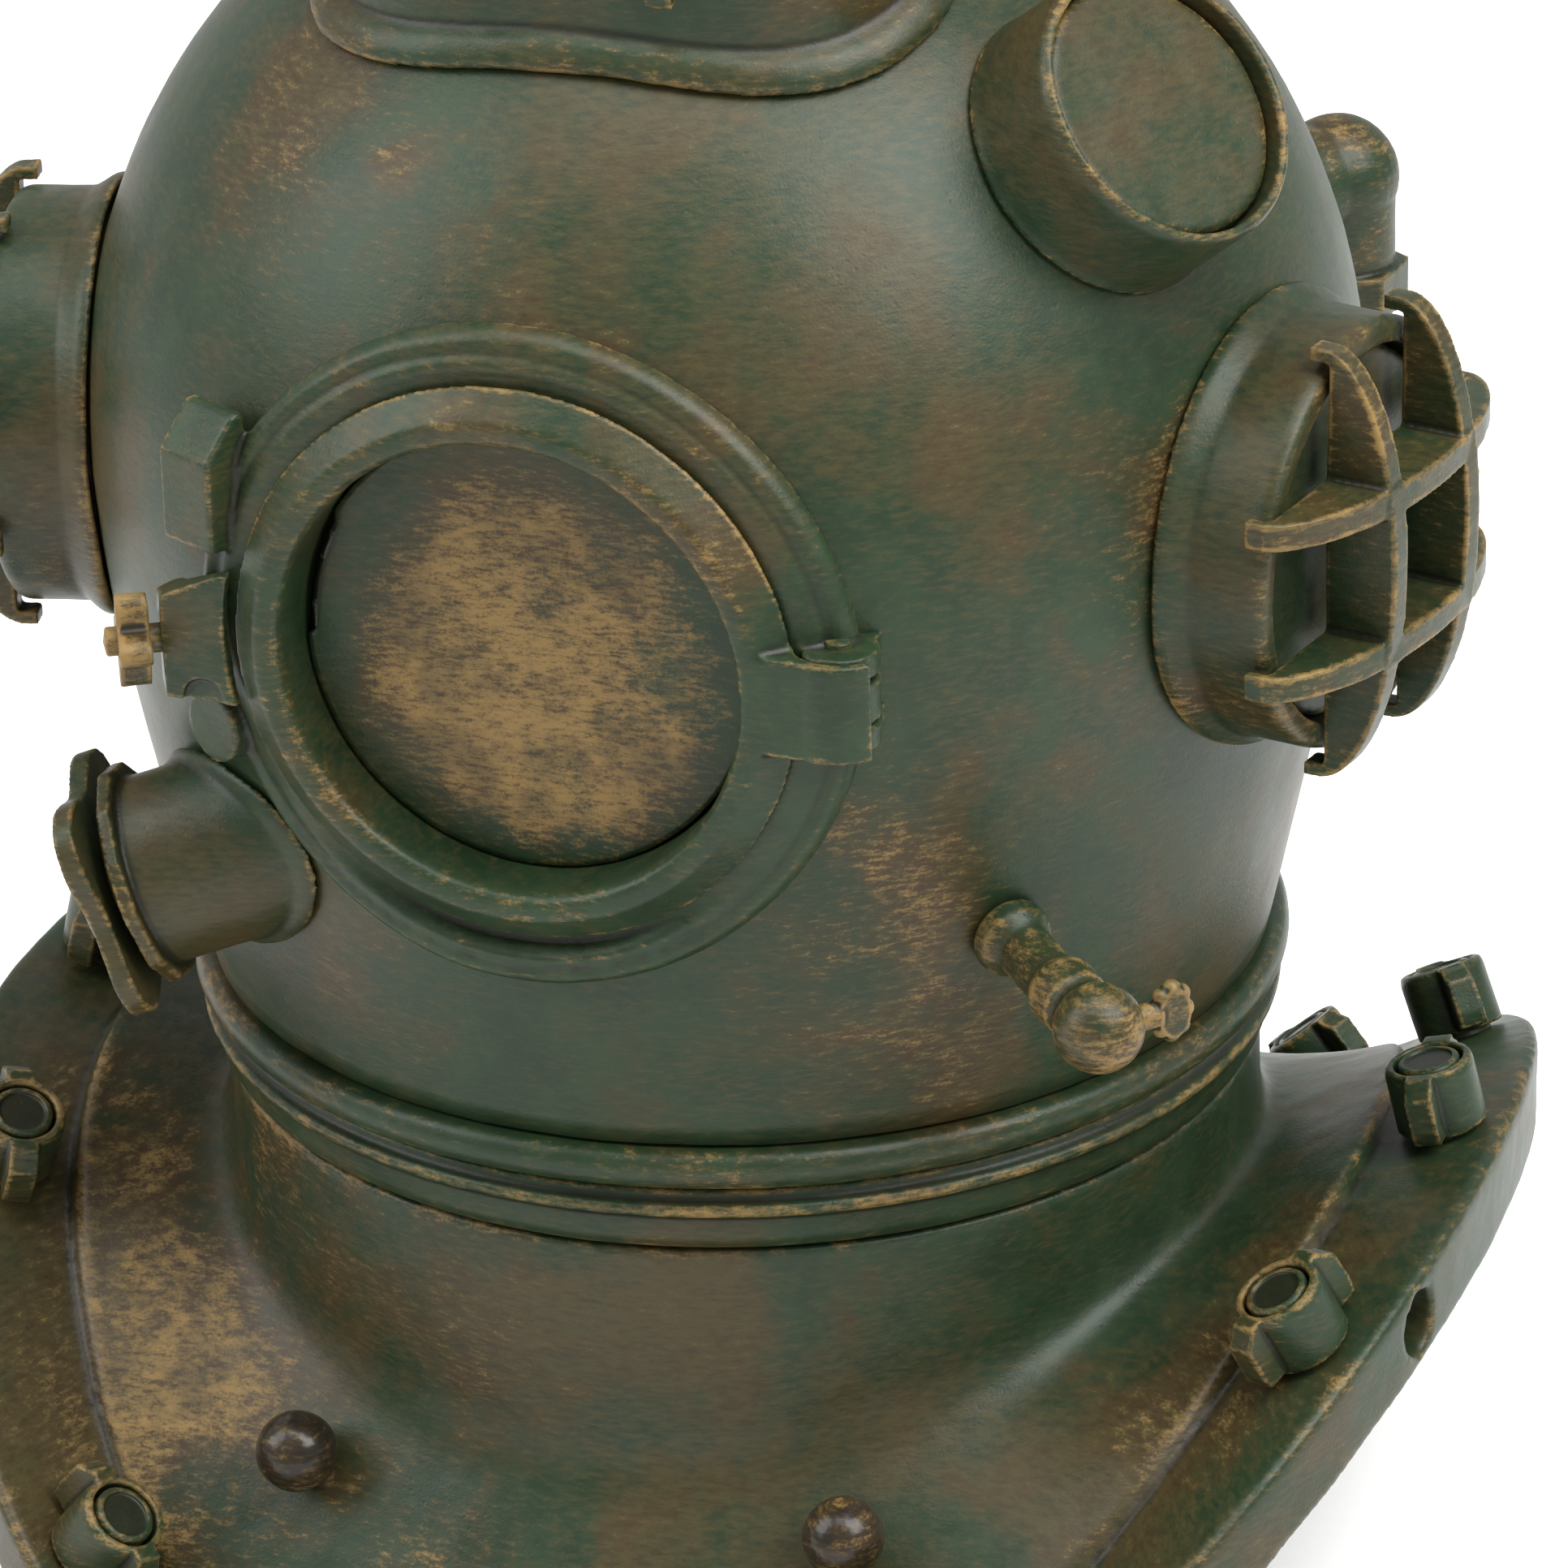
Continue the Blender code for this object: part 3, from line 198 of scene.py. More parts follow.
def tube(path, radius, count=20):
    """A round bar along a path of points."""
    loops, side = [], None
    for k, point in enumerate(path):
        along = (path[min(k + 1, len(path) - 1)] - path[max(k - 1, 0)]).normalized()
        side = side or along.orthogonal()
        side = (side - side.project(along)).normalized()
        other = along.cross(side)
        loops.append([point + side * x + other * y for x, y in ring_of(count, radius)])
    return solid(loops)


def bonnet_radius(level):
    if level >= 0:
        return math.sqrt(max(BONNET_RADIUS**2 - level**2, 0))
    return BONNET_RADIUS - (BONNET_RADIUS - NECK_RADIUS) * min(-level / NECK_DROP, 1.2) ** 1.35


def seat(where, x, y, clearance=GAP):
    """Height in the frame at which a line along its Z meets the bonnet plus the clearance."""
    start = (where.inverted() @ TOP).z
    low, high = 0.0, 0.09
    for _ in range(26):
        half = (low + high) / 2
        point = where @ Vector((x, y, start + half))
        level = point.z - CENTRE
        if level > 0:
            outside = (point - TOP).length > BONNET_RADIUS + clearance
        else:
            outside = math.hypot(point.x, point.y) > bonnet_radius(level) + clearance
        low, high = (low, half) if outside else (half, high)
    return start + high


def fitting(where, outline, profile, count=96, steps=3):
    """A fitting round a port. outline(share, grow) gives a point of its plan, and the profile is
    (grow, height, radius, seated) in millimetres, where a seated height is counted from the bonnet."""
    sections = []
    for k in range(count):
        points = []
        for grow, height, _, seated in profile:
            x, y = outline(k / count, grow * MM)
            points.append(Vector((x, y, height * MM + (seat(where, x, y) if seated else 0))))
        sections.append(rounded(points, [item[2] * MM for item in profile], steps))
    return solid(sections, where, closed=True)


def round_plan(radius):
    def plan(share, grow):
        a = 2 * math.pi * share
        return ((radius + grow) * math.cos(a), (radius + grow) * math.sin(a))

    return plan


# ---------------------------------------------------------------- finishing a piece
def evaluated(mesh, modifiers):
    """The mesh with these modifiers applied, as a new mesh."""
    temp = bpy.data.objects.new("temp", mesh)
    bpy.context.scene.collection.objects.link(temp)
    for kind, values in modifiers:
        modifier = temp.modifiers.new(kind.lower(), kind)
        for key, value in values.items():
            setattr(modifier, key, value)
    bpy.context.view_layer.update()
    graph = bpy.context.evaluated_depsgraph_get()
    result = bpy.data.meshes.new_from_object(temp.evaluated_get(graph))
    bpy.data.objects.remove(temp)
    return result


def cut(mesh, cutters):
    """The mesh with the closed bodies in cutters taken out of it."""
    for cutter in cutters:
        tool = bpy.data.objects.new("tool", mesh_of("tool", cutter))
        bpy.context.scene.collection.objects.link(tool)
        difference = {"operation": "DIFFERENCE", "solver": "EXACT", "object": tool}
        mesh = evaluated(mesh, [("BOOLEAN", difference)])
        bpy.data.objects.remove(tool)
    return mesh


def melted(name, bodies, voxel=0.2 * MM, smooth=3, cutters=(), after=()):
    """The bodies run together as one casting, with soft edges."""
    whole = bmesh.new()
    for body in bodies:
        part = mesh_of("part", body)
        whole.from_mesh(part)
    mesh = bpy.data.meshes.new(name)
    whole.to_mesh(mesh)
    whole.free()
    if cutters:
        mesh = evaluated(mesh, [("REMESH", {"mode": "VOXEL", "voxel_size": voxel})])
        mesh = cut(mesh, cutters)
        if after:
            whole = bmesh.new()
            whole.from_mesh(mesh)
            for body in after:
                whole.from_mesh(mesh_of("part", body))
            mesh = bpy.data.meshes.new(name)
            whole.to_mesh(mesh)
            whole.free()
    return evaluated(mesh, [("REMESH", {"mode": "VOXEL", "voxel_size": voxel}),
                            ("SMOOTH", {"factor": 0.5, "iterations": smooth})])


def remeshed(name, body, voxel):
    """The body with an even grid of vertices, so that wobble and wear show on its flats."""
    return evaluated(mesh_of(name, body), [("REMESH", {"mode": "VOXEL", "voxel_size": voxel})])


def curvature(mesh, passes=3):
    """Per vertex, how much it stands proud of its neighbours: about 1 on a sharp outer edge."""
    count = len(mesh.vertices)
    points = np.empty(count * 3, np.float32)
    mesh.vertices.foreach_get("co", points)
    normals = np.empty(count * 3, np.float32)
    mesh.vertices.foreach_get("normal", normals)
    edges = np.empty(len(mesh.edges) * 2, np.int32)
    mesh.edges.foreach_get("vertices", edges)
    points, normals, edges = points.reshape(-1, 3), normals.reshape(-1, 3), edges.reshape(-1, 2)
    value, total = np.zeros(count), np.zeros(count)
    for a, b in ((edges[:, 0], edges[:, 1]), (edges[:, 1], edges[:, 0])):
        step = points[a] - points[b]
        length = np.linalg.norm(step, axis=1) + 1e-9
        # Turning of the surface over about a millimetre
        bend = (step * normals[a]).sum(1) / length**2 * MM
        np.add.at(value, a, bend)
        np.add.at(total, a, 1.0)
    value = value / np.maximum(total, 1)
    for _ in range(passes):
        spread, total = value.copy(), np.ones(count)
        for a, b in ((edges[:, 0], edges[:, 1]), (edges[:, 1], edges[:, 0])):
            np.add.at(spread, a, value[b])
            np.add.at(total, a, 1.0)
        value = spread / total
    return value, points


PIECES = {}


def piece(name, mesh, material, body, nodes, gold=None, wobble=0.05 * MM, passes=3):
    """A shown piece: it takes the place of CAD nodes and rides on their body."""
    obj = bpy.data.objects.new(name, mesh)
    bpy.context.scene.collection.objects.link(obj)
    mesh.materials.clear()
    mesh.materials.append(material)
    for face in mesh.polygons:
        face.use_smooth = True
    value, points = curvature(mesh, passes)
    if wobble:
        moved = np.empty(len(points) * 3, np.float32)
        normals = np.empty(len(points) * 3, np.float32)
        mesh.vertices.foreach_get("normal", normals)
        normals = normals.reshape(-1, 3)
        lumps = np.array([noise.noise(Vector(p) * 130) + 0.5 * noise.noise(Vector(p) * 420)
                          for p in points])
        moved = points + normals * (lumps * wobble)[:, None]
        mesh.vertices.foreach_set("co", moved.astype(np.float32).ravel())
        mesh.update()
    wear = np.clip(value * 2.2, 0, 1)
    # crevice: how deep a vertex sits in a hollow; it keeps the gold out and sets the painted shade there
    crevice = np.clip(-value * 2.6, 0, 1)
    extra = np.zeros(len(points)) if gold is None else np.clip(gold(points), 0, 1)
    shade = mesh.attributes.new("shade", "FLOAT_COLOR", "POINT")
    data = np.stack([wear, crevice, extra, np.ones(len(points))], 1).astype(np.float32)
    shade.data.foreach_set("color", data.ravel())
    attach(obj, body)
    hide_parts(*nodes)
    PIECES[name] = obj
    return obj


def evenly(amount):
    """The same extra gold all over a piece."""
    return lambda points: np.full(len(points), amount)


# ---------------------------------------------------------------- materials
def patina(name, green, brown, gold, gold_amount, rough, streak=(700, 700, 2600), bump=0.35):
    """Green over brown over gold: patches of brown, streaky gold on edges and flats, and painted shade in the
    hollows.
    """
    material = bpy.data.materials.new(name)
    material.use_nodes = True
    tree = material.node_tree
    links = tree.links
    shader = tree.nodes["Principled BSDF"]

    def node(kind, **values):
        made = tree.nodes.new(kind)
        for key, value in values.items():
            if key in made.inputs:
                made.inputs[key].default_value = value
            else:
                setattr(made, key, value)
        return made

    def math_node(operation, first, second=0.0, third=0.0, clamp=False):
        made = tree.nodes.new("ShaderNodeMath")
        made.operation, made.use_clamp = operation, clamp
        for socket, value in zip(made.inputs, (first, second, third)):
            if isinstance(value, (int, float)):
                socket.default_value = value
            else:
                links.new(value, socket)
        return made.outputs[0]

    def noise_at(scale, detail, stretch=None, roughness=0.6, distortion=0.0):
        made = node("ShaderNodeTexNoise")
        made.inputs["Scale"].default_value = scale
        made.inputs["Detail"].default_value = detail
        made.inputs["Roughness"].default_value = roughness
        made.inputs["Distortion"].default_value = distortion
        source = coords.outputs["Object"]
        if stretch:
            mapping = node("ShaderNodeMapping")
            mapping.inputs["Scale"].default_value = stretch
            mapping.inputs["Rotation"].default_value = (0.35, 0.5, 0.2)
            links.new(source, mapping.inputs["Vector"])
            source = mapping.outputs[0]
        links.new(source, made.inputs["Vector"])
        return made.outputs["Fac"]

    def step(value, low, high):
        made = node("ShaderNodeMapRange")
        made.interpolation_type = "SMOOTHSTEP"
        made.inputs["From Min"].default_value = low
        made.inputs["From Max"].default_value = high
        links.new(value, made.inputs["Value"])
        return made.outputs["Result"]

    def blend(factor, first, second):
        made = node("ShaderNodeMix")
        made.data_type = "RGBA"
        for socket, value in ((made.inputs[0], factor), (made.inputs[6], first), (made.inputs[7], second)):
            if isinstance(value, tuple):
                socket.default_value = (*value, 1)
            elif isinstance(value, (int, float)):
                socket.default_value = value
            else:
                links.new(value, socket)
        return made.outputs[2]

    coords = node("ShaderNodeTexCoord")
    shade = node("ShaderNodeAttribute")
    shade.attribute_name = "shade"
    split = node("ShaderNodeSeparateColor")
    links.new(shade.outputs["Color"], split.inputs[0])
    wear, crevice, extra = split.outputs[0], split.outputs[1], split.outputs[2]

    patches = noise_at(38, 5, distortion=0.6)
    mottle = noise_at(170, 8, roughness=0.65)
    streaks = noise_at(1.0, 5, stretch=streak, roughness=0.7)
    grain = noise_at(4200, 2)
    pits = node("ShaderNodeTexVoronoi")
    pits.inputs["Scale"].default_value = 900
    links.new(coords.outputs["Object"], pits.inputs["Vector"])

    colour = blend(step(mottle, 0.35, 0.7), tuple(c * 0.62 for c in green), green)
    browning = math_node("ADD", math_node("MULTIPLY", patches, 0.62), math_node("MULTIPLY", mottle, 0.38))
    browning = math_node("ADD", browning, math_node("MULTIPLY", extra, 0.12))
    colour = blend(math_node("MULTIPLY", step(browning, 0.46, 0.62), 0.85), colour, brown)

    haze = math_node("ADD", math_node("MULTIPLY", streaks, 0.55), math_node("MULTIPLY", patches, 0.45))
    haze = math_node("MULTIPLY", step(haze, 0.42, 0.62), 0.6)
    colour = blend(haze, colour, tuple(0.22 * a + 0.45 * b for a, b in zip(gold, green)))

    dusting = math_node("ADD", math_node("MULTIPLY", streaks, 0.44), math_node("MULTIPLY", patches, 0.20))
    dusting = math_node("ADD", dusting, math_node("MULTIPLY", grain, 0.16))
    dusting = math_node("ADD", dusting, math_node("MULTIPLY", mottle, 0.20))
    dusting = math_node("ADD", dusting, math_node("MULTIPLY", wear, 0.13))
    dusting = math_node("ADD", dusting, math_node("MULTIPLY", extra, 0.17))
    dusting = math_node("SUBTRACT", dusting, math_node("MULTIPLY", crevice, 0.30))
    dusting = math_node("ADD", dusting, gold_amount)
    gilded = math_node("MULTIPLY_ADD", step(mottle, 0.42, 0.60), 0.45, 0.35)
    gilded = math_node("MULTIPLY", gilded, step(dusting, 0.57, 0.72))
    colour = blend(gilded, colour, gold)
    # Painted shade: the colour goes near black in hollows and creases, standing in for the shade that falls
    # there
    painted_shade = math_node("MULTIPLY", step(crevice, 0.1, 0.8), 0.75)
    colour = blend(painted_shade, colour, (0.007, 0.007, 0.004))
    links.new(colour, shader.inputs["Base Color"])

    uneven = math_node("MULTIPLY_ADD", mottle, 0.22, rough - 0.11)
    uneven = math_node("MULTIPLY_ADD", gilded, 0.10, uneven)
    links.new(uneven, shader.inputs["Roughness"])
    shader.inputs["Metallic"].default_value = 0.05
    shader.inputs["Specular IOR Level"].default_value = 0.24

    height = math_node("ADD", math_node("MULTIPLY", grain, 0.35), math_node("MULTIPLY", streaks, 0.35))
    height = math_node("ADD", height, math_node("MULTIPLY", mottle, 0.8))
    hole = step(pits.outputs["Distance"], 0.0, 0.22)
    height = math_node("ADD", height, math_node("MULTIPLY", hole, 0.25))
    bumps = node("ShaderNodeBump")
    bumps.inputs["Strength"].default_value = bump
    bumps.inputs["Distance"].default_value = 0.16 * MM
    links.new(height, bumps.inputs["Height"])
    links.new(bumps.outputs[0], shader.inputs["Normal"])
    return material


GREEN, BROWN, GOLD = (0.015, 0.033, 0.014), (0.034, 0.016, 0.005), (0.200, 0.125, 0.040)
verdigris = patina("verdigris", GREEN, BROWN, GOLD, -0.02, 0.40)
gilt = patina("gilt", GREEN, BROWN, GOLD, 0.015, 0.38)
stud_paint = patina("stud_paint", (0.018, 0.015, 0.010), (0.034, 0.020, 0.010), GOLD, -0.03, 0.22,
                    bump=0.2)
tube_paint = patina("tube_paint", (0.05, 0.06, 0.055), (0.04, 0.045, 0.04), (0.08, 0.08, 0.07), -0.1, 0.5)
stone_paint = patina("stone_paint", (0.38, 0.36, 0.31), (0.30, 0.27, 0.22), (0.5, 0.47, 0.4), 0.0, 0.9,
                     bump=1.0)

# ---------------------------------------------------------------- bonnet and neck rings
BASE = Matrix.Translation(TOP)
FRONT = aimed(0, 0, TOP + Vector((0, 0, FACE_LEVEL)))
CROWN = aimed(0, 76, TOP)
CUP = aimed(64.2, 37.4, TOP)
RIGHT, LEFT = aimed(77, 0, TOP), aimed(-77, 0, TOP)

profile = [(BONNET_RADIUS * math.cos(math.radians(90 - 90 * k / 48)),
            BONNET_RADIUS * math.sin(math.radians(90 - 90 * k / 48))) for k in range(49)]
profile[0] = (0, BONNET_RADIUS)
profile += [(bonnet_radius(-NECK_DROP * k / 24), -NECK_DROP * k / 24) for k in range(1, 25)]
profile += [(bonnet_radius(-NECK_DROP * k / 6) - WALL, -NECK_DROP * k / 6) for k in range(6, 0, -1)]
profile += [((BONNET_RADIUS - WALL) * math.cos(math.radians(90 * k / 16)),
             (BONNET_RADIUS - WALL) * math.sin(math.radians(90 * k / 16))) for k in range(16)]
profile.append((0, BONNET_RADIUS - WALL))
bonnet = mesh_of("bonnet", turned(profile, BASE, 224))
front_hole = prism(ring_of(96, FACE_SPIGOT + GAP), 38 * MM, 60 * MM, FRONT)
top_hole = prism(squircle(96, 21.1 * MM + GAP, 19.1 * MM + GAP, 3), 38 * MM, 60 * MM, CROWN)
bonnet = cut(bonnet, [front_hole, top_hole])

# Where the dry brushing is strongest: azimuth, height over the widest circle, reach, strength
GLOW = ((-28, 30, 14, 0.5), (3, 17, 12, 0.35), (27, -14, 13, 0.5), (62, 4, 11, 0.9), (38, -30, 15, 0.5),
        (-20, -33, 12, 0.35), (100, -20, 20, 0.4), (180, 10, 30, 0.4), (-120, -10, 25, 0.4))


def bonnet_glow(points):
    total = np.zeros(len(points))
    for azimuth, level, reach, strength in GLOW:
        a = math.radians(azimuth)
        radius = bonnet_radius(level * MM)
        spot = np.array([radius * math.sin(a), -radius * math.cos(a), CENTRE + level * MM])
        total += strength * np.exp(-((points - spot) ** 2).sum(1) / (reach * MM) ** 2)
    return total


piece("bonnet", bonnet, verdigris, "bonnet", ["bonnet_shell"], bonnet_glow, 0.08 * MM)

spigot = NECK_RADIUS - WALL - GAP
band = [(NECK_RADIUS - 0.2 * MM, RING_TOP), (NECK_RADIUS + 0.9 * MM, RING_TOP - 0.1 * MM),
        (NECK_RADIUS + 1.5 * MM, RING_TOP - 1.0 * MM), (NECK_RADIUS + 1.5 * MM, RING_TOP - 2.1 * MM),
        (NECK_RADIUS + 0.9 * MM, RING_TOP - 3.1 * MM), (NECK_RADIUS - 0.5 * MM, RING_TOP - 3.3 * MM),
        (spigot - 1.5 * MM, RING_TOP - 3.3 * MM), (spigot - 1.5 * MM, RING_TOP + 3.5 * MM),
        (spigot, RING_TOP + 3.5 * MM), (spigot, RING_TOP)]
upper = mesh_of("upper_band", turned(band, BASE, 256, 0.7 * MM, closed=True))
piece("bonnet_band", upper, gilt, "bonnet", ["bonnet_neck_ring"])
inner = spigot - 1.5 * MM - GAP
band = [(NECK_RADIUS - 0.1 * MM, LOWER_TOP), (NECK_RADIUS + 0.1 * MM, LOWER_TOP - 0.8 * MM),
        (NECK_RADIUS + 0.9 * MM, LOWER_TOP - 1.1 * MM), (NECK_RADIUS + 0.9 * MM, LOWER_TOP - 1.9 * MM),
        (NECK_RADIUS + 0.1 * MM, LOWER_TOP - 2.2 * MM), (NECK_RADIUS - 0.1 * MM, RING_BOTTOM + 0.9 * MM),
        (NECK_RADIUS - 0.7 * MM, RING_BOTTOM), (inner - 1.5 * MM, RING_BOTTOM),
        (inner - 1.5 * MM, RING_TOP + 1.5 * MM), (inner, RING_TOP + 1.5 * MM), (inner, LOWER_TOP)]
lower = mesh_of("lower_band", turned(band, BASE, 256, 0.45 * MM, closed=True))
piece("corselet_band", lower, gilt, "corselet", ["corselet_neck_ring"])

# ---------------------------------------------------------------- corselet
OUTLINE, SADDLE = 2.22, 2.17
STEP_X, STEP_Y = 52.8 * MM, 58.5 * MM
RIM_WIDTH, RIM_THICK, STEP_RISE = 10.9 * MM, 8.5 * MM, 1.5 * MM
SHELL = 3.2 * MM


def outline_point(angle, half_x, half_y):
    s, c = math.sin(angle), math.cos(angle)
    return Vector((half_x * math.copysign(abs(s) ** (2 / OUTLINE), s),
                   -half_y * math.copysign(abs(c) ** (2 / OUTLINE), c), 0))


def saddle(angle, drop, sag):
    return SHELL_TOP + GAP - (drop + sag * abs(math.cos(angle)) ** SADDLE) * MM


def step_height(angle):
    z, limit = saddle(angle, 4.4, 42.8), SHELL_TOP + GAP - 41.8 * MM
    return 0.5 * (z + limit + math.hypot(z - limit, 2 * MM))


sections = []
for k in range(288):
    a = 2 * math.pi * k / 288
    ray = Vector((math.sin(a), -math.cos(a), 0))
    crease_z, step_z, rim_z = saddle(a, 9.4, 11.0), step_height(a), saddle(a, 3.2, 39.6)
    step, edge = outline_point(a, STEP_X, STEP_Y), outline_point(a, STEP_X + RIM_WIDTH, STEP_Y + RIM_WIDTH)
    inward = edge.normalized() * SHELL
    foot = max(rim_z - RIM_THICK, 0.0)
    crease = ray * (NECK_RADIUS - 0.7 * MM)
    across = edge - step

    def at(spot, height):
        return Vector((spot.x, spot.y, height))

    bore = ray * (NECK_RADIUS - 0.7 * MM - SHELL)
    section = [
        (at(ray * (NECK_RADIUS - 0.8 * MM), SHELL_TOP), 0.3),
        (at(crease, crease_z), 3.2),
        (at(crease.lerp(step, 0.5), (crease_z + step_z) / 2), 0.0),
        (at(step, step_z), 0.7),
        (at(step + across * 0.04, step_z - STEP_RISE), 0.35),
        (at(step.lerp(edge, 0.5), (step_z - STEP_RISE + rim_z) / 2), 0.0),
        (at(edge, rim_z), 1.2),
        (at(edge, foot), 1.0),
        (at(edge - inward, foot), 0.8),
        (at(edge - inward, rim_z - SHELL), 1.5),
        (at(step - inward * 0.3, step_z - STEP_RISE - SHELL), 2.0),
        (at(bore, crease_z - SHELL * 1.2), 3.0),
        (at(bore, SHELL_TOP), 0.4),
    ]
    sections.append(rounded([p for p, _ in section], [r * MM for _, r in section], 5))
corselet = mesh_of("corselet", solid(sections, None, closed=True))
slots = []
for sign in (1, -1):
    turn = math.radians(SLOT_AZIMUTH)
    edge = outline_point(turn, STEP_X + RIM_WIDTH, STEP_Y + RIM_WIDTH)
    spot = Vector((sign * edge.x, edge.y, saddle(turn, 3.2, 39.6) - RIM_THICK / 2))
    oval = [(x * SLOT_HALF_WIDTH, y * SLOT_HALF_HEIGHT) for x, y in ring_of(40, 1)]
    slots.append(prism(oval, -SHELL - 1.6 * MM, 3 * MM, aimed(sign * SLOT_AZIMUTH, 0, spot)))
corselet = cut(corselet, slots)
corselet = evaluated(corselet, [("REMESH", {"mode": "VOXEL", "voxel_size": 0.42 * MM}),
                                ("SMOOTH", {"factor": 0.5, "iterations": 3})])
YOKE_GLOW = ((-45, 50, 13, 0.9), (-12, 50, 9, 0.8), (-68, 52, 9, 0.7), (-30, 60, 10, 0.6), (25, 60, 12, 0.5),
             (60, 58, 12, 0.45), (95, 55, 14, 0.5), (150, 55, 20, 0.5), (-140, 55, 20, 0.5))


def yoke_glow(points):
    total = np.zeros(len(points))
    for azimuth, out, reach, strength in YOKE_GLOW:
        a = math.radians(azimuth)
        spot = np.array([out * MM * math.sin(a), -out * MM * math.cos(a)])
        total += strength * np.exp(-((points[:, :2] - spot) ** 2).sum(1) / (reach * MM) ** 2)
    return total


piece("corselet", corselet, verdigris, "corselet", ["corselet_shell"], yoke_glow, 0.08 * MM)

# ---------------------------------------------------------------- rim studs and wing nuts
for name in joints:
    if not name.startswith("rim_nut_"):
        continue
    label = name[len("rim_nut_"):-len("_turn")]
    joint = joints[name]
    out, spot = Vector(joint["axis"]).normalized(), Vector(joint["pos_m"])
    where = framed(out, Vector((spot.x, spot.y, 0)), spot)
    top = 6.2 * MM
    bolt = turned([(0, top - 0.2 * MM), (1.9 * MM, top - 0.3 * MM), (2.0 * MM, top),
                   (2.5 * MM, top - 0.2 * MM), (2.5 * MM, -4.2 * MM), (0, -4.2 * MM)], where, 48, 0.25 * MM)
    piece(f"stud_{label}", mesh_of("stud", bolt), verdigris, "corselet", [f"rim_stud_{label}"], None, 0)
    shank = turned([(3.0 * MM, 6.15 * MM), (3.45 * MM, 6.0 * MM), (3.6 * MM, 5.4 * MM), (3.6 * MM, 0.5 * MM),
                    (2.8 * MM, 0.5 * MM), (2.8 * MM, 6.0 * MM)], where, 56, closed=True)
    wings = []
    for sign in (1, -1):
        side = [(3.0, 0.9), (5.3, 0.9), (5.6, 2.0), (5.5, 4.9), (4.6, 5.6), (4.2, 6.2), (3.0, 6.2)]
        loops = [[(across * MM, sign * x * MM, z * MM) for x, z in side] for across in (-1.15, 1.15)]
        wings.append(solid(loops, where))
    nut = melted("nut", [shank, *wings], 0.16 * MM, 4)
    piece(f"nut_{label}", nut, gilt, f"nut_{label}", [f"wing_nut_{label}"], None, 0.1 * MM)

for side in ("left", "right"):
    low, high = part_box(f"ball_stud_{side}")
    spot = Vector(((low.x + high.x) / 2, low.y + BALL_RADIUS, high.z - BALL_RADIUS))
    root = Vector((spot.x * 0.9, spot.y + 3.2 * MM, spot.z - 5.4 * MM))
    knob = melted("knob", [ball(BALL_RADIUS, Matrix.Translation(spot)), tube([spot, root], BALL_SHANK)],
                  0.16 * MM, 3)
    piece(f"ball_{side}", knob, stud_paint, "corselet", [f"ball_stud_{side}"], evenly(0.35),
          0.1 * MM)

# ---------------------------------------------------------------- front port
HINGE = Vector(joints["faceplate_hinge"]["pos_m"])
hinge = Matrix.Translation(HINGE)
FLARE = FACE_RADIUS + 1.8 * MM
barrel_profile = [
    (22.2, 37.4, 0, False), (22.2, 0.0, 0, True), (25.6, 0.0, 0.3, True), (25.5, 1.2, 0.5, True),
    (24.8, 1.8, 0.6, True), (23.9, 1.3, 0.4, True), (23.2, 1.7, 0.4, True), (21.9, 46.9, 0.3, False),
    (19.7, 46.9, 0.2, False), (19.7, 37.4, 0, False)]
barrel = fitting(FRONT, round_plan(0), barrel_profile, 128)
HALF = 3.8 * MM
third = HALF * 0.4
web = [(-2.8 * MM, 0), (2.2 * MM, 0), (2.2 * MM, 3.6 * MM), (-2.8 * MM, 3.0 * MM)]
arms, slots = [], [prism(ring_of(40, 3.6 * MM), -third - GAP, third + GAP, hinge)]
for low, high in ((third + GAP, HALF), (-HALF, -third - GAP)):
    arms += [prism(web, low, high, hinge), prism(ring_of(40, 3.0 * MM), low, high, hinge)]
# Block and ear cast on the barrel, clear of the faceplate
block_where = aimed(-28.0, 0, TOP)
face = seat(block_where, 0, 7.5 * MM) + 3.6 * MM
block = []
for x in (-3.0 * MM, 2.6 * MM):
    base = seat(block_where, x, 9 * MM, 2 * GAP) - 0.2 * MM
    block.append([(x, 4.2 * MM, base), (x, 4.2 * MM, face), (x, 11.3 * MM, face),
                  (x, 14.4 * MM, face - 2.8 * MM), (x, 14.4 * MM, base)])
ear_where = aimed(-29.0, 0, TOP)
face = seat(ear_where, 0, -11.0 * MM) + 2.6 * MM
ear = [[(x, y - 11.0 * MM, height) for x, y in ring_of(32, 2.9 * MM)] for height in (face - 3.2 * MM, face)]
swept = prism(ring_of(96, FLARE + 0.5 * MM), 47.0 * MM, 60 * MM, FRONT)
port = melted("port", [barrel, *arms, solid(block, block_where), solid(ear, ear_where)], 0.22 * MM, 3,
              cutters=[swept, *slots])
piece("front_port", port, verdigris, "bonnet", ["front_port_barrel"], None, 0.06 * MM)
piece("hinge_pin", mesh_of("pin", turned([(0, HALF + 0.5 * MM), (1.0 * MM, HALF + 0.4 * MM),
                                          (1.0 * MM, -HALF - 0.4 * MM), (1.8 * MM, -HALF - 0.4 * MM),
                                          (1.8 * MM, -HALF - 0.9 * MM), (0, -HALF - 0.9 * MM)], hinge, 32,
                                         0.15 * MM)), gilt, "bonnet", ["faceplate_hinge_pin"], None, 0)

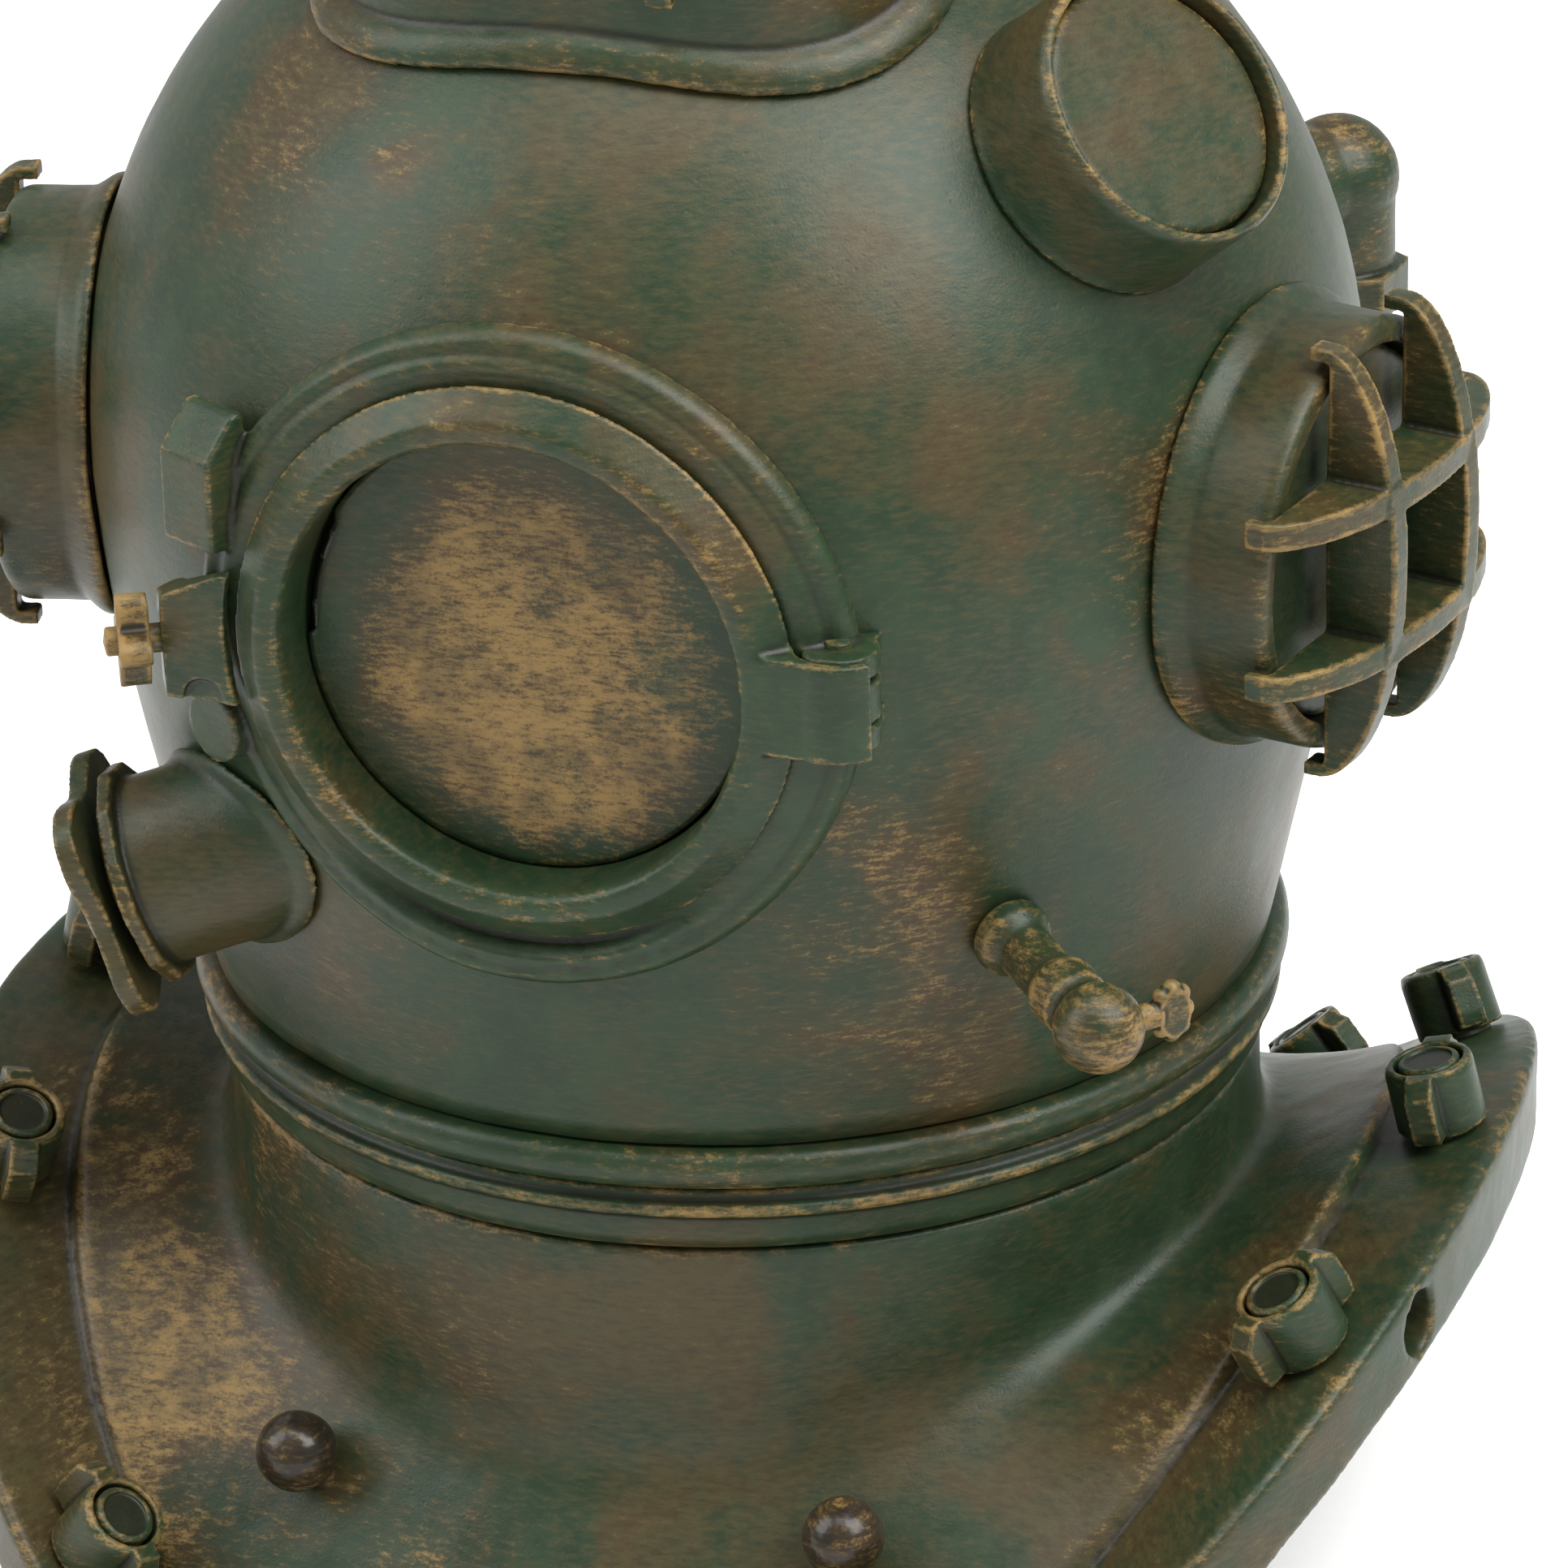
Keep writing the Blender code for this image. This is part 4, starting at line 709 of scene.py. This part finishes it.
ring_profile = [
    (19.4, 49.4, 0.3), (20.1, 48.8, 0.3), (21.9, 47.2, 0.3), (19.2, 47.2, 0.2), (19.2, 40.9, 0),
    (16.0, 40.9, 0), (16.0, 41.9, 0), (17.6, 41.9, 0), (17.6, 48.7, 0.5), (18.1, 49.3, 0.3)]
ring_sections = []
for k in range(160):
    a = 2 * math.pi * k / 160
    points = [Vector((r * MM * math.cos(a), r * MM * math.sin(a), h * MM)) for r, h, _ in ring_profile]
    ring_sections.append(rounded(points, [r * MM for _, _, r in ring_profile], 3))
faceplate = solid(ring_sections, FRONT, closed=True)


def arc(radius, start, end, count):
    angles = [math.radians(start + (end - start) * k / (count - 1)) for k in range(count)]
    return [(radius * math.cos(a), radius * math.sin(a)) for a in angles]


root_x = FACE_RADIUS - 1.4 * MM - HINGE.x
leaf = [(root_x, -3.75 * MM), *arc(4.2 * MM, 248, 322, 14), *arc(2.2 * MM, 322, 210, 14),
        (root_x, -1.6 * MM)]
bridge = [(root_x + 0.4 * MM, -3.3 * MM), *arc(4.0 * MM, 252, 305, 10), *arc(1.7 * MM, 305, 215, 8),
          (root_x + 0.4 * MM, -2.0 * MM)]
relief = prism(ring_of(48, 3.3 * MM), -HALF - 2 * MM, HALF + 2 * MM, hinge)
ring = melted("ring", [faceplate, prism(leaf, -HALF, HALF, hinge)], 0.2 * MM, 3, cutters=[relief],
              after=[prism(bridge, -third + 0.1 * MM, third - 0.1 * MM, hinge),
                     prism(ring_of(40, 3.0 * MM), -third, third, hinge)])
piece("faceplate", ring, gilt, "faceplate", ["faceplate_ring"], None, 0.06 * MM)

plate_front = -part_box("faceplate_disc")[0].y
plate = []
rows = 44
edge_radius = FACE_BORE - GAP
for k in range(1, rows + 1):
    radius = edge_radius * k / rows
    loop = []
    for x, y in ring_of(144, 1):
        degrees = math.degrees(math.atan2(y, x)) % 360
        pull = 0.8 * MM if 148 <= degrees <= 182 and k == rows else 0
        dish = 0.35 * MM * (1 - (k / rows) ** 2)
        loop.append((x * (radius - pull), y * (radius - pull), plate_front - dish * 0.6))
    plate.append(loop)
plate = [[(0, 0, plate_front - 0.21 * MM)]] + plate
plate += [[(x, y, plate_front - 2.0 * MM) for x, y, _ in plate[-1]], [(0, 0, plate_front - 2.0 * MM)]]
plate_mesh = mesh_of("plate", solid(plate, FRONT))
FACE_MIDDLE = np.array(FRONT @ Vector((1.2 * MM, -1.5 * MM, plate_front)))


def plate_glow(points):
    away = np.linalg.norm(points - FACE_MIDDLE, axis=1) / MM
    low_side = np.clip((FACE_MIDDLE[2] - points[:, 2]) / (14 * MM), 0, 1)
    return np.clip((16.2 - away) / 4.5, 0, 1) * (0.85 + 0.35 * low_side)


piece("faceplate_disc_front", plate_mesh, gilt, "faceplate", ["faceplate_disc"], plate_glow, 0.12 * MM)

# ---------------------------------------------------------------- latch on the faceplate
latch = joint_frame("latch_nut_turn")
plan = [(-18.6, 48.4), (-23.0, 48.4), (-27.2, 48.3), (-28.7, 45.5), (-27.4, 44.6), (-26.6, 45.0),
        (-25.8, 45.9), (-23.9, 46.5), (-21.9, 47.45), (-18.6, 47.6)]
lug = []
for top in (False, True):
    lug.append([(x * MM, -y * MM, CENTRE + ((3.4 - max(-x - 21.0, 0) * 0.45) if top else -7.6) * MM)
                for x, y in plan])
clear = prism(ring_of(96, FLARE + GAP), FACE_FRONT - 15 * MM, FACE_FRONT + 15 * MM, FRONT)
arch = prism(ring_of(24, 1.7 * MM), -4 * MM, 6 * MM, aimed(-8, 0, Vector((-24.6 * MM, -52.0 * MM,
                                                                       CENTRE - 7.4 * MM))))
lug = melted("lug", [solid(lug)], 0.16 * MM, 3, cutters=[clear, arch])
piece("latch_lug_cast", lug, gilt, "faceplate", ["latch_lug"], None, 0.1 * MM)
stud = turned([(0, 4.2 * MM), (1.1 * MM, 4.0 * MM), (1.1 * MM, -1.6 * MM), (0, -1.6 * MM)], latch, 32,
              0.2 * MM)
piece("latch_bolt", mesh_of("latch_bolt", stud), gilt, "faceplate", ["latch_stud"], None, 0)
lobes = []
for k in range(96):
    a = 2 * math.pi * k / 96
    radius = (2.75 + 0.95 * math.cos(4 * a)) * MM
    lobes.append((radius * math.cos(a), radius * math.sin(a)))
nut = melted("latch_nut", [prism(lobes, 0.75 * MM, 3.15 * MM, latch)], 0.14 * MM, 4,
             cutters=[prism(ring_of(32, 1.4 * MM), -1 * MM, 6 * MM, latch)])
piece("latch_nut_cast", nut, gilt, "latch_nut", ["latch_wing_nut"], evenly(0.4), 0.1 * MM)


# ---------------------------------------------------------------- guarded ports
def guard(name, where, reach_of, top, rise, offset, node):
    """Two flat bars each way that arch over the rim and hook down outside it."""
    bars = []
    for across in (False, True):
        for sign in (-1, 1):
            inner = reach_of(offset - 1.1 * MM, across) + GAP
            end = inner + 1.1 * MM
            shape = [(-inner, top - 1.3 * MM), (-inner, top + GAP), (inner, top + GAP),
                     (inner, top - 1.3 * MM), (end, top - 1.3 * MM)]
            shape += [(end * math.cos(math.pi * k / 32),
                       top + (rise + 0.6 * MM) * math.sin(math.pi * k / 32) - 0.3 * MM) for k in range(1, 32)]
            shape.append((-end, top - 1.3 * MM))
            loops = []
            for side in (-1.05 * MM, 1.05 * MM):
                off = sign * offset + side
                loops.append([(off, u, h) if across else (u, off, h) for u, h in shape])
            bars.append(solid(loops, where))
    cage = melted(name, bars, 0.18 * MM, 3)
    piece(name, cage, gilt, "bonnet", [node], evenly(0.15), 0.08 * MM)


SIDE = 16.4 * MM
FACE = BONNET_RADIUS + 5.9 * MM
for side, where in (("right", RIGHT), ("left", LEFT)):
    shape = [(15.2, 42.0, 0, False), (15.2, 0.0, 0, True), (17.5, 0.0, 0.3, True), (17.5, 0.9, 0.5, True),
             (16.9, 1.6, 0.5, True), (16.4, 49.9, 0.3, False), (16.4, 55.3, 0.5, False),
             (15.9, 55.9, 0.4, False), (14.4, 55.9, 0.35, False), (14.4, 52.3, 0.3, False),
             (13.2, 52.3, 0, False), (13.2, 42.0, 0, False)]
    collar = fitting(where, round_plan(0), shape, 128)
    mesh = melted(f"{side}_collar", [collar], 0.22 * MM, 2)
    spot = np.array(where @ Vector((-10 * MM if side == "right" else 10 * MM, -8 * MM, 50 * MM)))
    piece(f"{side}_port", mesh, verdigris, "bonnet", [f"{side}_port_frame"],
          lambda p, spot=spot: 0.7 * np.exp(-((p - spot) ** 2).sum(1) / (9 * MM) ** 2), 0.08 * MM)
    pane = turned([(0, FACE - 1.3 * MM), (13.6 * MM, FACE - 1.35 * MM), (14.1 * MM, FACE - 1.6 * MM),
                   (14.1 * MM, FACE - 3.3 * MM), (0, FACE - 3.3 * MM)], where, 96, 0.3 * MM)
    pane = remeshed("pane", pane, 0.35 * MM)
    piece(f"{side}_pane", pane, verdigris, "bonnet", [f"{side}_port_window"], None, 0.15 * MM)
    guard(f"{side}_guard", where, lambda off, across: math.sqrt(SIDE**2 - off**2), FACE, 5.7 * MM, 6.0 * MM,
          f"{side}_port_guard")


def crown_plan(share, grow):
    a = 2 * math.pi * (share + 1 / 512)
    c, s = math.cos(a), math.sin(a)
    return ((CROWN_HALF_X + grow) * math.copysign(abs(c) ** (2 / 3), c),
            (CROWN_HALF_Y + grow) * math.copysign(abs(s) ** (2 / 3), s))


shape = [(-1.4, 38.0, 0, False), (-1.4, 0.0, 0, True), (2.5, 0.0, 0.4, True), (2.5, 1.0, 0.6, True),
         (1.6, 1.7, 0.7, True), (0.4, 1.5, 0.5, True), (0.0, 50.7, 0.5, False), (-0.6, 51.4, 0.5, False),
         (-2.4, 51.4, 0.5, False), (-2.4, 48.4, 0.3, False), (-3.8, 48.4, 0, False), (-3.8, 38.0, 0, False)]
crown = fitting(CROWN, crown_plan, shape, 160)
crown = melted("crown", [crown], 0.25 * MM, 2)
piece("crown_port", crown, gilt, "bonnet", ["top_port_frame"], None, 0.12 * MM)
pane = prism(squircle(96, CROWN_HALF_X - 2.7 * MM, CROWN_HALF_Y - 2.7 * MM, 3), 48.7 * MM, 50.5 * MM, CROWN)
pane = remeshed("pane", pane, 0.4 * MM)
piece("crown_pane", pane, verdigris, "bonnet", ["top_port_window"], evenly(0.6), 0.15 * MM)


def crown_reach(off, across):
    half, other = (CROWN_HALF_Y, CROWN_HALF_X) if across else (CROWN_HALF_X, CROWN_HALF_Y)
    return half * (1 - (off / other) ** 3) ** (1 / 3)


guard("crown_guard", CROWN, crown_reach, CROWN_FACE, 4.2 * MM, 7.6 * MM, "top_port_guard")

# ---------------------------------------------------------------- speaker cup
shape = [(8.0, 44.0, 0, False), (8.0, 0.0, 0, True), (11.3, 0.0, 0.2, True), (11.05, 0.9, 0.4, True),
         (11.0, 57.4, 0.3, False), (10.7, 58.1, 0.3, False), (10.1, 58.0, 0.3, False),
         (10.1, 55.0, 0.2, False), (6.6, 55.0, 0, False), (6.6, 44.0, 0, False)]
cup = fitting(CUP, round_plan(0), shape, 128)
cup = melted("speaker", [cup], 0.2 * MM, 3)
piece("speaker", cup, verdigris, "bonnet", ["speaker_cup"], None, 0.1 * MM)
cover = turned([(0, 57.0 * MM), (9.3 * MM, 56.9 * MM), (9.8 * MM, 56.6 * MM), (9.8 * MM, 55.3 * MM),
                (0, 55.3 * MM)], CUP, 96, 0.3 * MM)
cover = remeshed("cover", cover, 0.3 * MM)
piece("speaker_plate", cover, verdigris, "bonnet", ["speaker_cover"], None, 0.1 * MM)

# ---------------------------------------------------------------- exhaust valve
valve = joint_frame("exhaust_wheel_turn")
shape = [(4.6, -11.0, 0, False), (4.6, 0.0, 0, True), (8.3, 0.0, 0.3, True), (8.1, 0.9, 0.5, True),
         (7.4, 1.3, 0.3, True), (7.4, 7.9, 0.3, False), (6.9, 8.4, 0.3, False), (2.4, 8.4, 0.1, False),
         (2.4, -11.0, 0, False)]
drum = fitting(valve, round_plan(0), shape, 96)
nut_ring = prism(ring_of(12, 8.7 * MM), 6.6 * MM, 7.8 * MM, valve)
drum = melted("drum", [drum, nut_ring], 0.2 * MM, 3,
              cutters=[prism(ring_of(32, 2.3 * MM), -14 * MM, 12 * MM, valve)])
piece("exhaust_drum", drum, verdigris, "bonnet", ["exhaust_valve_body"], None, 0.1 * MM)
WHEEL_TOP = 11.6 * MM
petals = []
for k in range(120):
    a = 2 * math.pi * k / 120
    radius = (9.3 + 1.5 * math.cos(4 * (a - math.radians(45)))) * MM
    petals.append((radius * math.cos(a), radius * math.sin(a)))
raised = turned([(0, WHEEL_TOP), (5.2 * MM, WHEEL_TOP - 0.05 * MM), (6.3 * MM, WHEEL_TOP - 0.5 * MM),
                 (6.5 * MM, WHEEL_TOP - 1.6 * MM), (0, WHEEL_TOP - 1.6 * MM)], valve, 64, 0.3 * MM)
stem = turned([(0, WHEEL_TOP - 1.7 * MM), (2.0 * MM, WHEEL_TOP - 1.7 * MM), (2.0 * MM, -8.5 * MM),
               (0, -8.5 * MM)], valve, 32)
wheel = melted("wheel", [prism(petals, WHEEL_TOP - 2.6 * MM, WHEEL_TOP - 1.0 * MM, valve), raised, stem],
               0.18 * MM, 4)
piece("exhaust_wheel_cast", wheel, verdigris, "exhaust_wheel", ["exhaust_handwheel"], None, 0.12 * MM)

# ---------------------------------------------------------------- spitcock
key_where = joint_frame("spitcock_turn")
knob = Vector(key_where.translation)
along = Vector((knob.x, knob.y, 0)).normalized()
root = knob - (along * math.cos(COCK_DIP) + Vector((0, 0, math.sin(COCK_DIP)))) * COCK_LENGTH
path_dir = (knob - root).normalized()
cock = framed(path_dir, Vector((-along.y, along.x, 0)), root)
neck = turned([(0, 10 * MM), (2.2 * MM, 10 * MM), (2.15 * MM, 3.0 * MM), (2.9 * MM, 1.9 * MM),
               (3.1 * MM, 0.6 * MM), (1.5 * MM, -0.6 * MM), (1.5 * MM, -5 * MM), (0, -5 * MM)],
              cock, 40, 0.3 * MM)
barrel = turned([(0, 11.5 * MM), (2.6 * MM, 11.2 * MM), (2.75 * MM, 8.8 * MM), (2.2 * MM, 7.6 * MM),
                 (0, 7.6 * MM)], cock, 40, 0.3 * MM)
tip = melted("spitcock", [neck, barrel, tube([root + path_dir * 8 * MM, knob], 2.4 * MM),
                          ball(3.4 * MM, Matrix.Translation(knob))], 0.16 * MM, 4,
             cutters=[prism(ring_of(24, 1.3 * MM), 1.2 * MM, 6 * MM, key_where)])
piece("spitcock", tip, gilt, "bonnet", ["spitcock_body"], evenly(0.35), 0.1 * MM)
grip = []
for k in range(24):
    a = 2 * math.pi * k / 24
    grip.append((2.0 * MM * math.sin(a), (6.0 + 1.36 * math.cos(a)) * MM))
handle = [turned([(0, 5.0 * MM), (1.0 * MM, 5.0 * MM), (1.0 * MM, 1.6 * MM), (0, 1.6 * MM)], key_where, 24)]
handle.append(solid([[(side, y, x) for y, x in grip] for side in (-0.75 * MM, 0.75 * MM)], key_where))
for k in range(8):
    a = 2 * math.pi * k / 8
    spot = key_where @ Vector((0, 1.75 * MM * math.sin(a), (6.0 + 1.1 * math.cos(a)) * MM))
    handle.append(ball(0.75 * MM, Matrix.Translation(spot), 12))
piece("spitcock_grip", melted("grip", handle, 0.12 * MM, 2), gilt, "spitcock_handle", ["spitcock_key"],
      evenly(0.4), 0)

# ---------------------------------------------------------------- elbows, air line and stone
for side, turn in (("phone", 1), ("air", -1)):
    a = math.radians(turn * ELBOW_AZIMUTH)
    out = Vector((math.sin(a), -math.cos(a), 0))
    where = aimed(turn * ELBOW_AZIMUTH, 0,
                  Vector((0, 0, CENTRE + ELBOW_LEVEL)) + out * bonnet_radius(ELBOW_LEVEL))
    shape = [(3.4, -5.0, 0, False), (3.4, 0.0, 0, True), (6.2, 0.0, 0.3, True), (6.2, 1.2, 0.4, False),
             (4.7, 1.9, 0.4, False), (4.7, 8.0, 0, False), (1.3, 8.0, 0, False), (1.3, -5.0, 0, False)]
    neck = fitting(where, round_plan(0), shape, 48)
    knee = where @ Vector((0, 0, ELBOW_OUT))
    down = framed(Vector((0, 0, -1)), Vector((out.y, -out.x, 0)), knee)
    bodies = [neck, tube([where @ Vector((0, 0, 7 * MM)), knee], 4.7 * MM, 32),
              ball(5.2 * MM, Matrix.Translation(knee)),
              turned([(0, 8 * MM), (4.9 * MM, 8 * MM), (4.9 * MM, 0), (0, 0)], down, 48),
              prism(ring_of(6, 6.2 * MM), 7.4 * MM, 11.3 * MM, down)]
    if side == "air":
        barb = [(0, 19 * MM), (1.9 * MM, 19 * MM)]
        for k in (2, 1, 0):
            barb += [(2.3 * MM, (13 + 2 * k) * MM + 0.3 * MM), (1.9 * MM, (13 + 2 * k) * MM)]
        bodies.append(turned(barb + [(1.9 * MM, 11 * MM), (0, 11 * MM)], down, 40))
        cutters = [prism(ring_of(20, 1.25 * MM), -0.5 * MM, 22 * MM, down)]
    else:
        gland = [(0, 14 * MM), (2.8 * MM, 14 * MM), (3.4 * MM, 11 * MM), (0, 11 * MM)]
        bodies.append(turned(gland, down, 40))
        cutters = []
    elbow = melted(f"{side}_elbow", bodies, 0.2 * MM, 3, cutters=cutters)
    piece(f"{side}_gooseneck", elbow, gilt, "bonnet", [f"{side}_elbow"], evenly(0.25), 0.1 * MM)

for name, paint, bevel in (("riser_tube", tube_paint, 0.0), ("air_stone", stone_paint, 0.6)):
    obj = frame["nodes"][name]
    obj.data.materials.clear()
    obj.data.materials.append(paint)
    for face in obj.data.polygons:
        face.use_smooth = True
    if bevel:
        soft = obj.modifiers.new("bevel", "BEVEL")
        soft.width, soft.segments, soft.harden_normals = bevel * MM, 3, True
    else:
        soft = obj.modifiers.new("subsurf", "SUBSURF")
        soft.levels = soft.render_levels = 2

# ---------------------------------------------------------------- stage, light and camera
floor_mesh = bpy.data.meshes.new("floor")
floor_mesh.from_pydata([(-4, -4, 0), (4, -4, 0), (4, 4, 0), (-4, 4, 0)], [], [(0, 1, 2, 3)])
floor = bpy.data.objects.new("floor", floor_mesh)
floor_paint = bpy.data.materials.new("floor")
floor_paint.use_nodes = True
floor_paint.node_tree.nodes["Principled BSDF"].inputs["Base Color"].default_value = (0.88, 0.88, 0.87, 1)
floor_paint.node_tree.nodes["Principled BSDF"].inputs["Roughness"].default_value = 0.7
floor_mesh.materials.append(floor_paint)
bpy.context.scene.collection.objects.link(floor)

world = bpy.data.worlds.new("studio")
bpy.context.scene.world = world
world.use_nodes = True
world.node_tree.nodes["Background"].inputs["Color"].default_value = (1, 1, 1, 1)
world.node_tree.nodes["Background"].inputs["Strength"].default_value = 0.7


def softbox(name, azimuth, elevation, distance, size, power):
    light = bpy.data.lights.new(name, "AREA")
    light.shape, light.size, light.size_y, light.energy = "RECTANGLE", size[0], size[1], power
    lamp = bpy.data.objects.new(name, light)
    a, e = math.radians(azimuth), math.radians(elevation)
    out = Vector((math.sin(a) * math.cos(e), -math.cos(a) * math.cos(e), math.sin(e)))
    lamp.location = TOP + out * distance
    lamp.rotation_euler = out.to_track_quat("Z", "Y").to_euler()
    bpy.context.scene.collection.objects.link(lamp)


softbox("key", 75, 48, 0.75, (0.5, 0.5), 9)
softbox("fill", -62, 35, 0.8, (0.45, 0.6), 5)
softbox("over", 10, 82, 0.8, (0.6, 0.5), 5)

camera_data = bpy.data.cameras.new("camera")
camera = bpy.data.objects.new("camera", camera_data)
bpy.context.scene.collection.objects.link(camera)
bpy.context.scene.camera = camera
camera_data.sensor_width, camera_data.lens = 36.0, 146.3
camera_data.clip_start = 0.01
EYE = TOP + Vector((156.166, -437.054, 185.999)) * MM
AIM_AZIMUTH, AIM_DIP, ROLL = math.radians(19.20), math.radians(25.29), math.radians(-1.53)
ahead = Vector((-math.sin(AIM_AZIMUTH) * math.cos(AIM_DIP), math.cos(AIM_AZIMUTH) * math.cos(AIM_DIP),
                -math.sin(AIM_DIP)))
level = Vector((math.cos(AIM_AZIMUTH), math.sin(AIM_AZIMUTH), 0))
upward = level.cross(ahead)
side_way = level * math.cos(ROLL) + upward * math.sin(ROLL)
upward = upward * math.cos(ROLL) - level * math.sin(ROLL)
camera.matrix_world = Matrix([[side_way[i], upward[i], -ahead[i], EYE[i]] for i in range(3)] + [[0, 0, 0, 1]])

bpy.context.scene.view_settings.view_transform = "Standard"
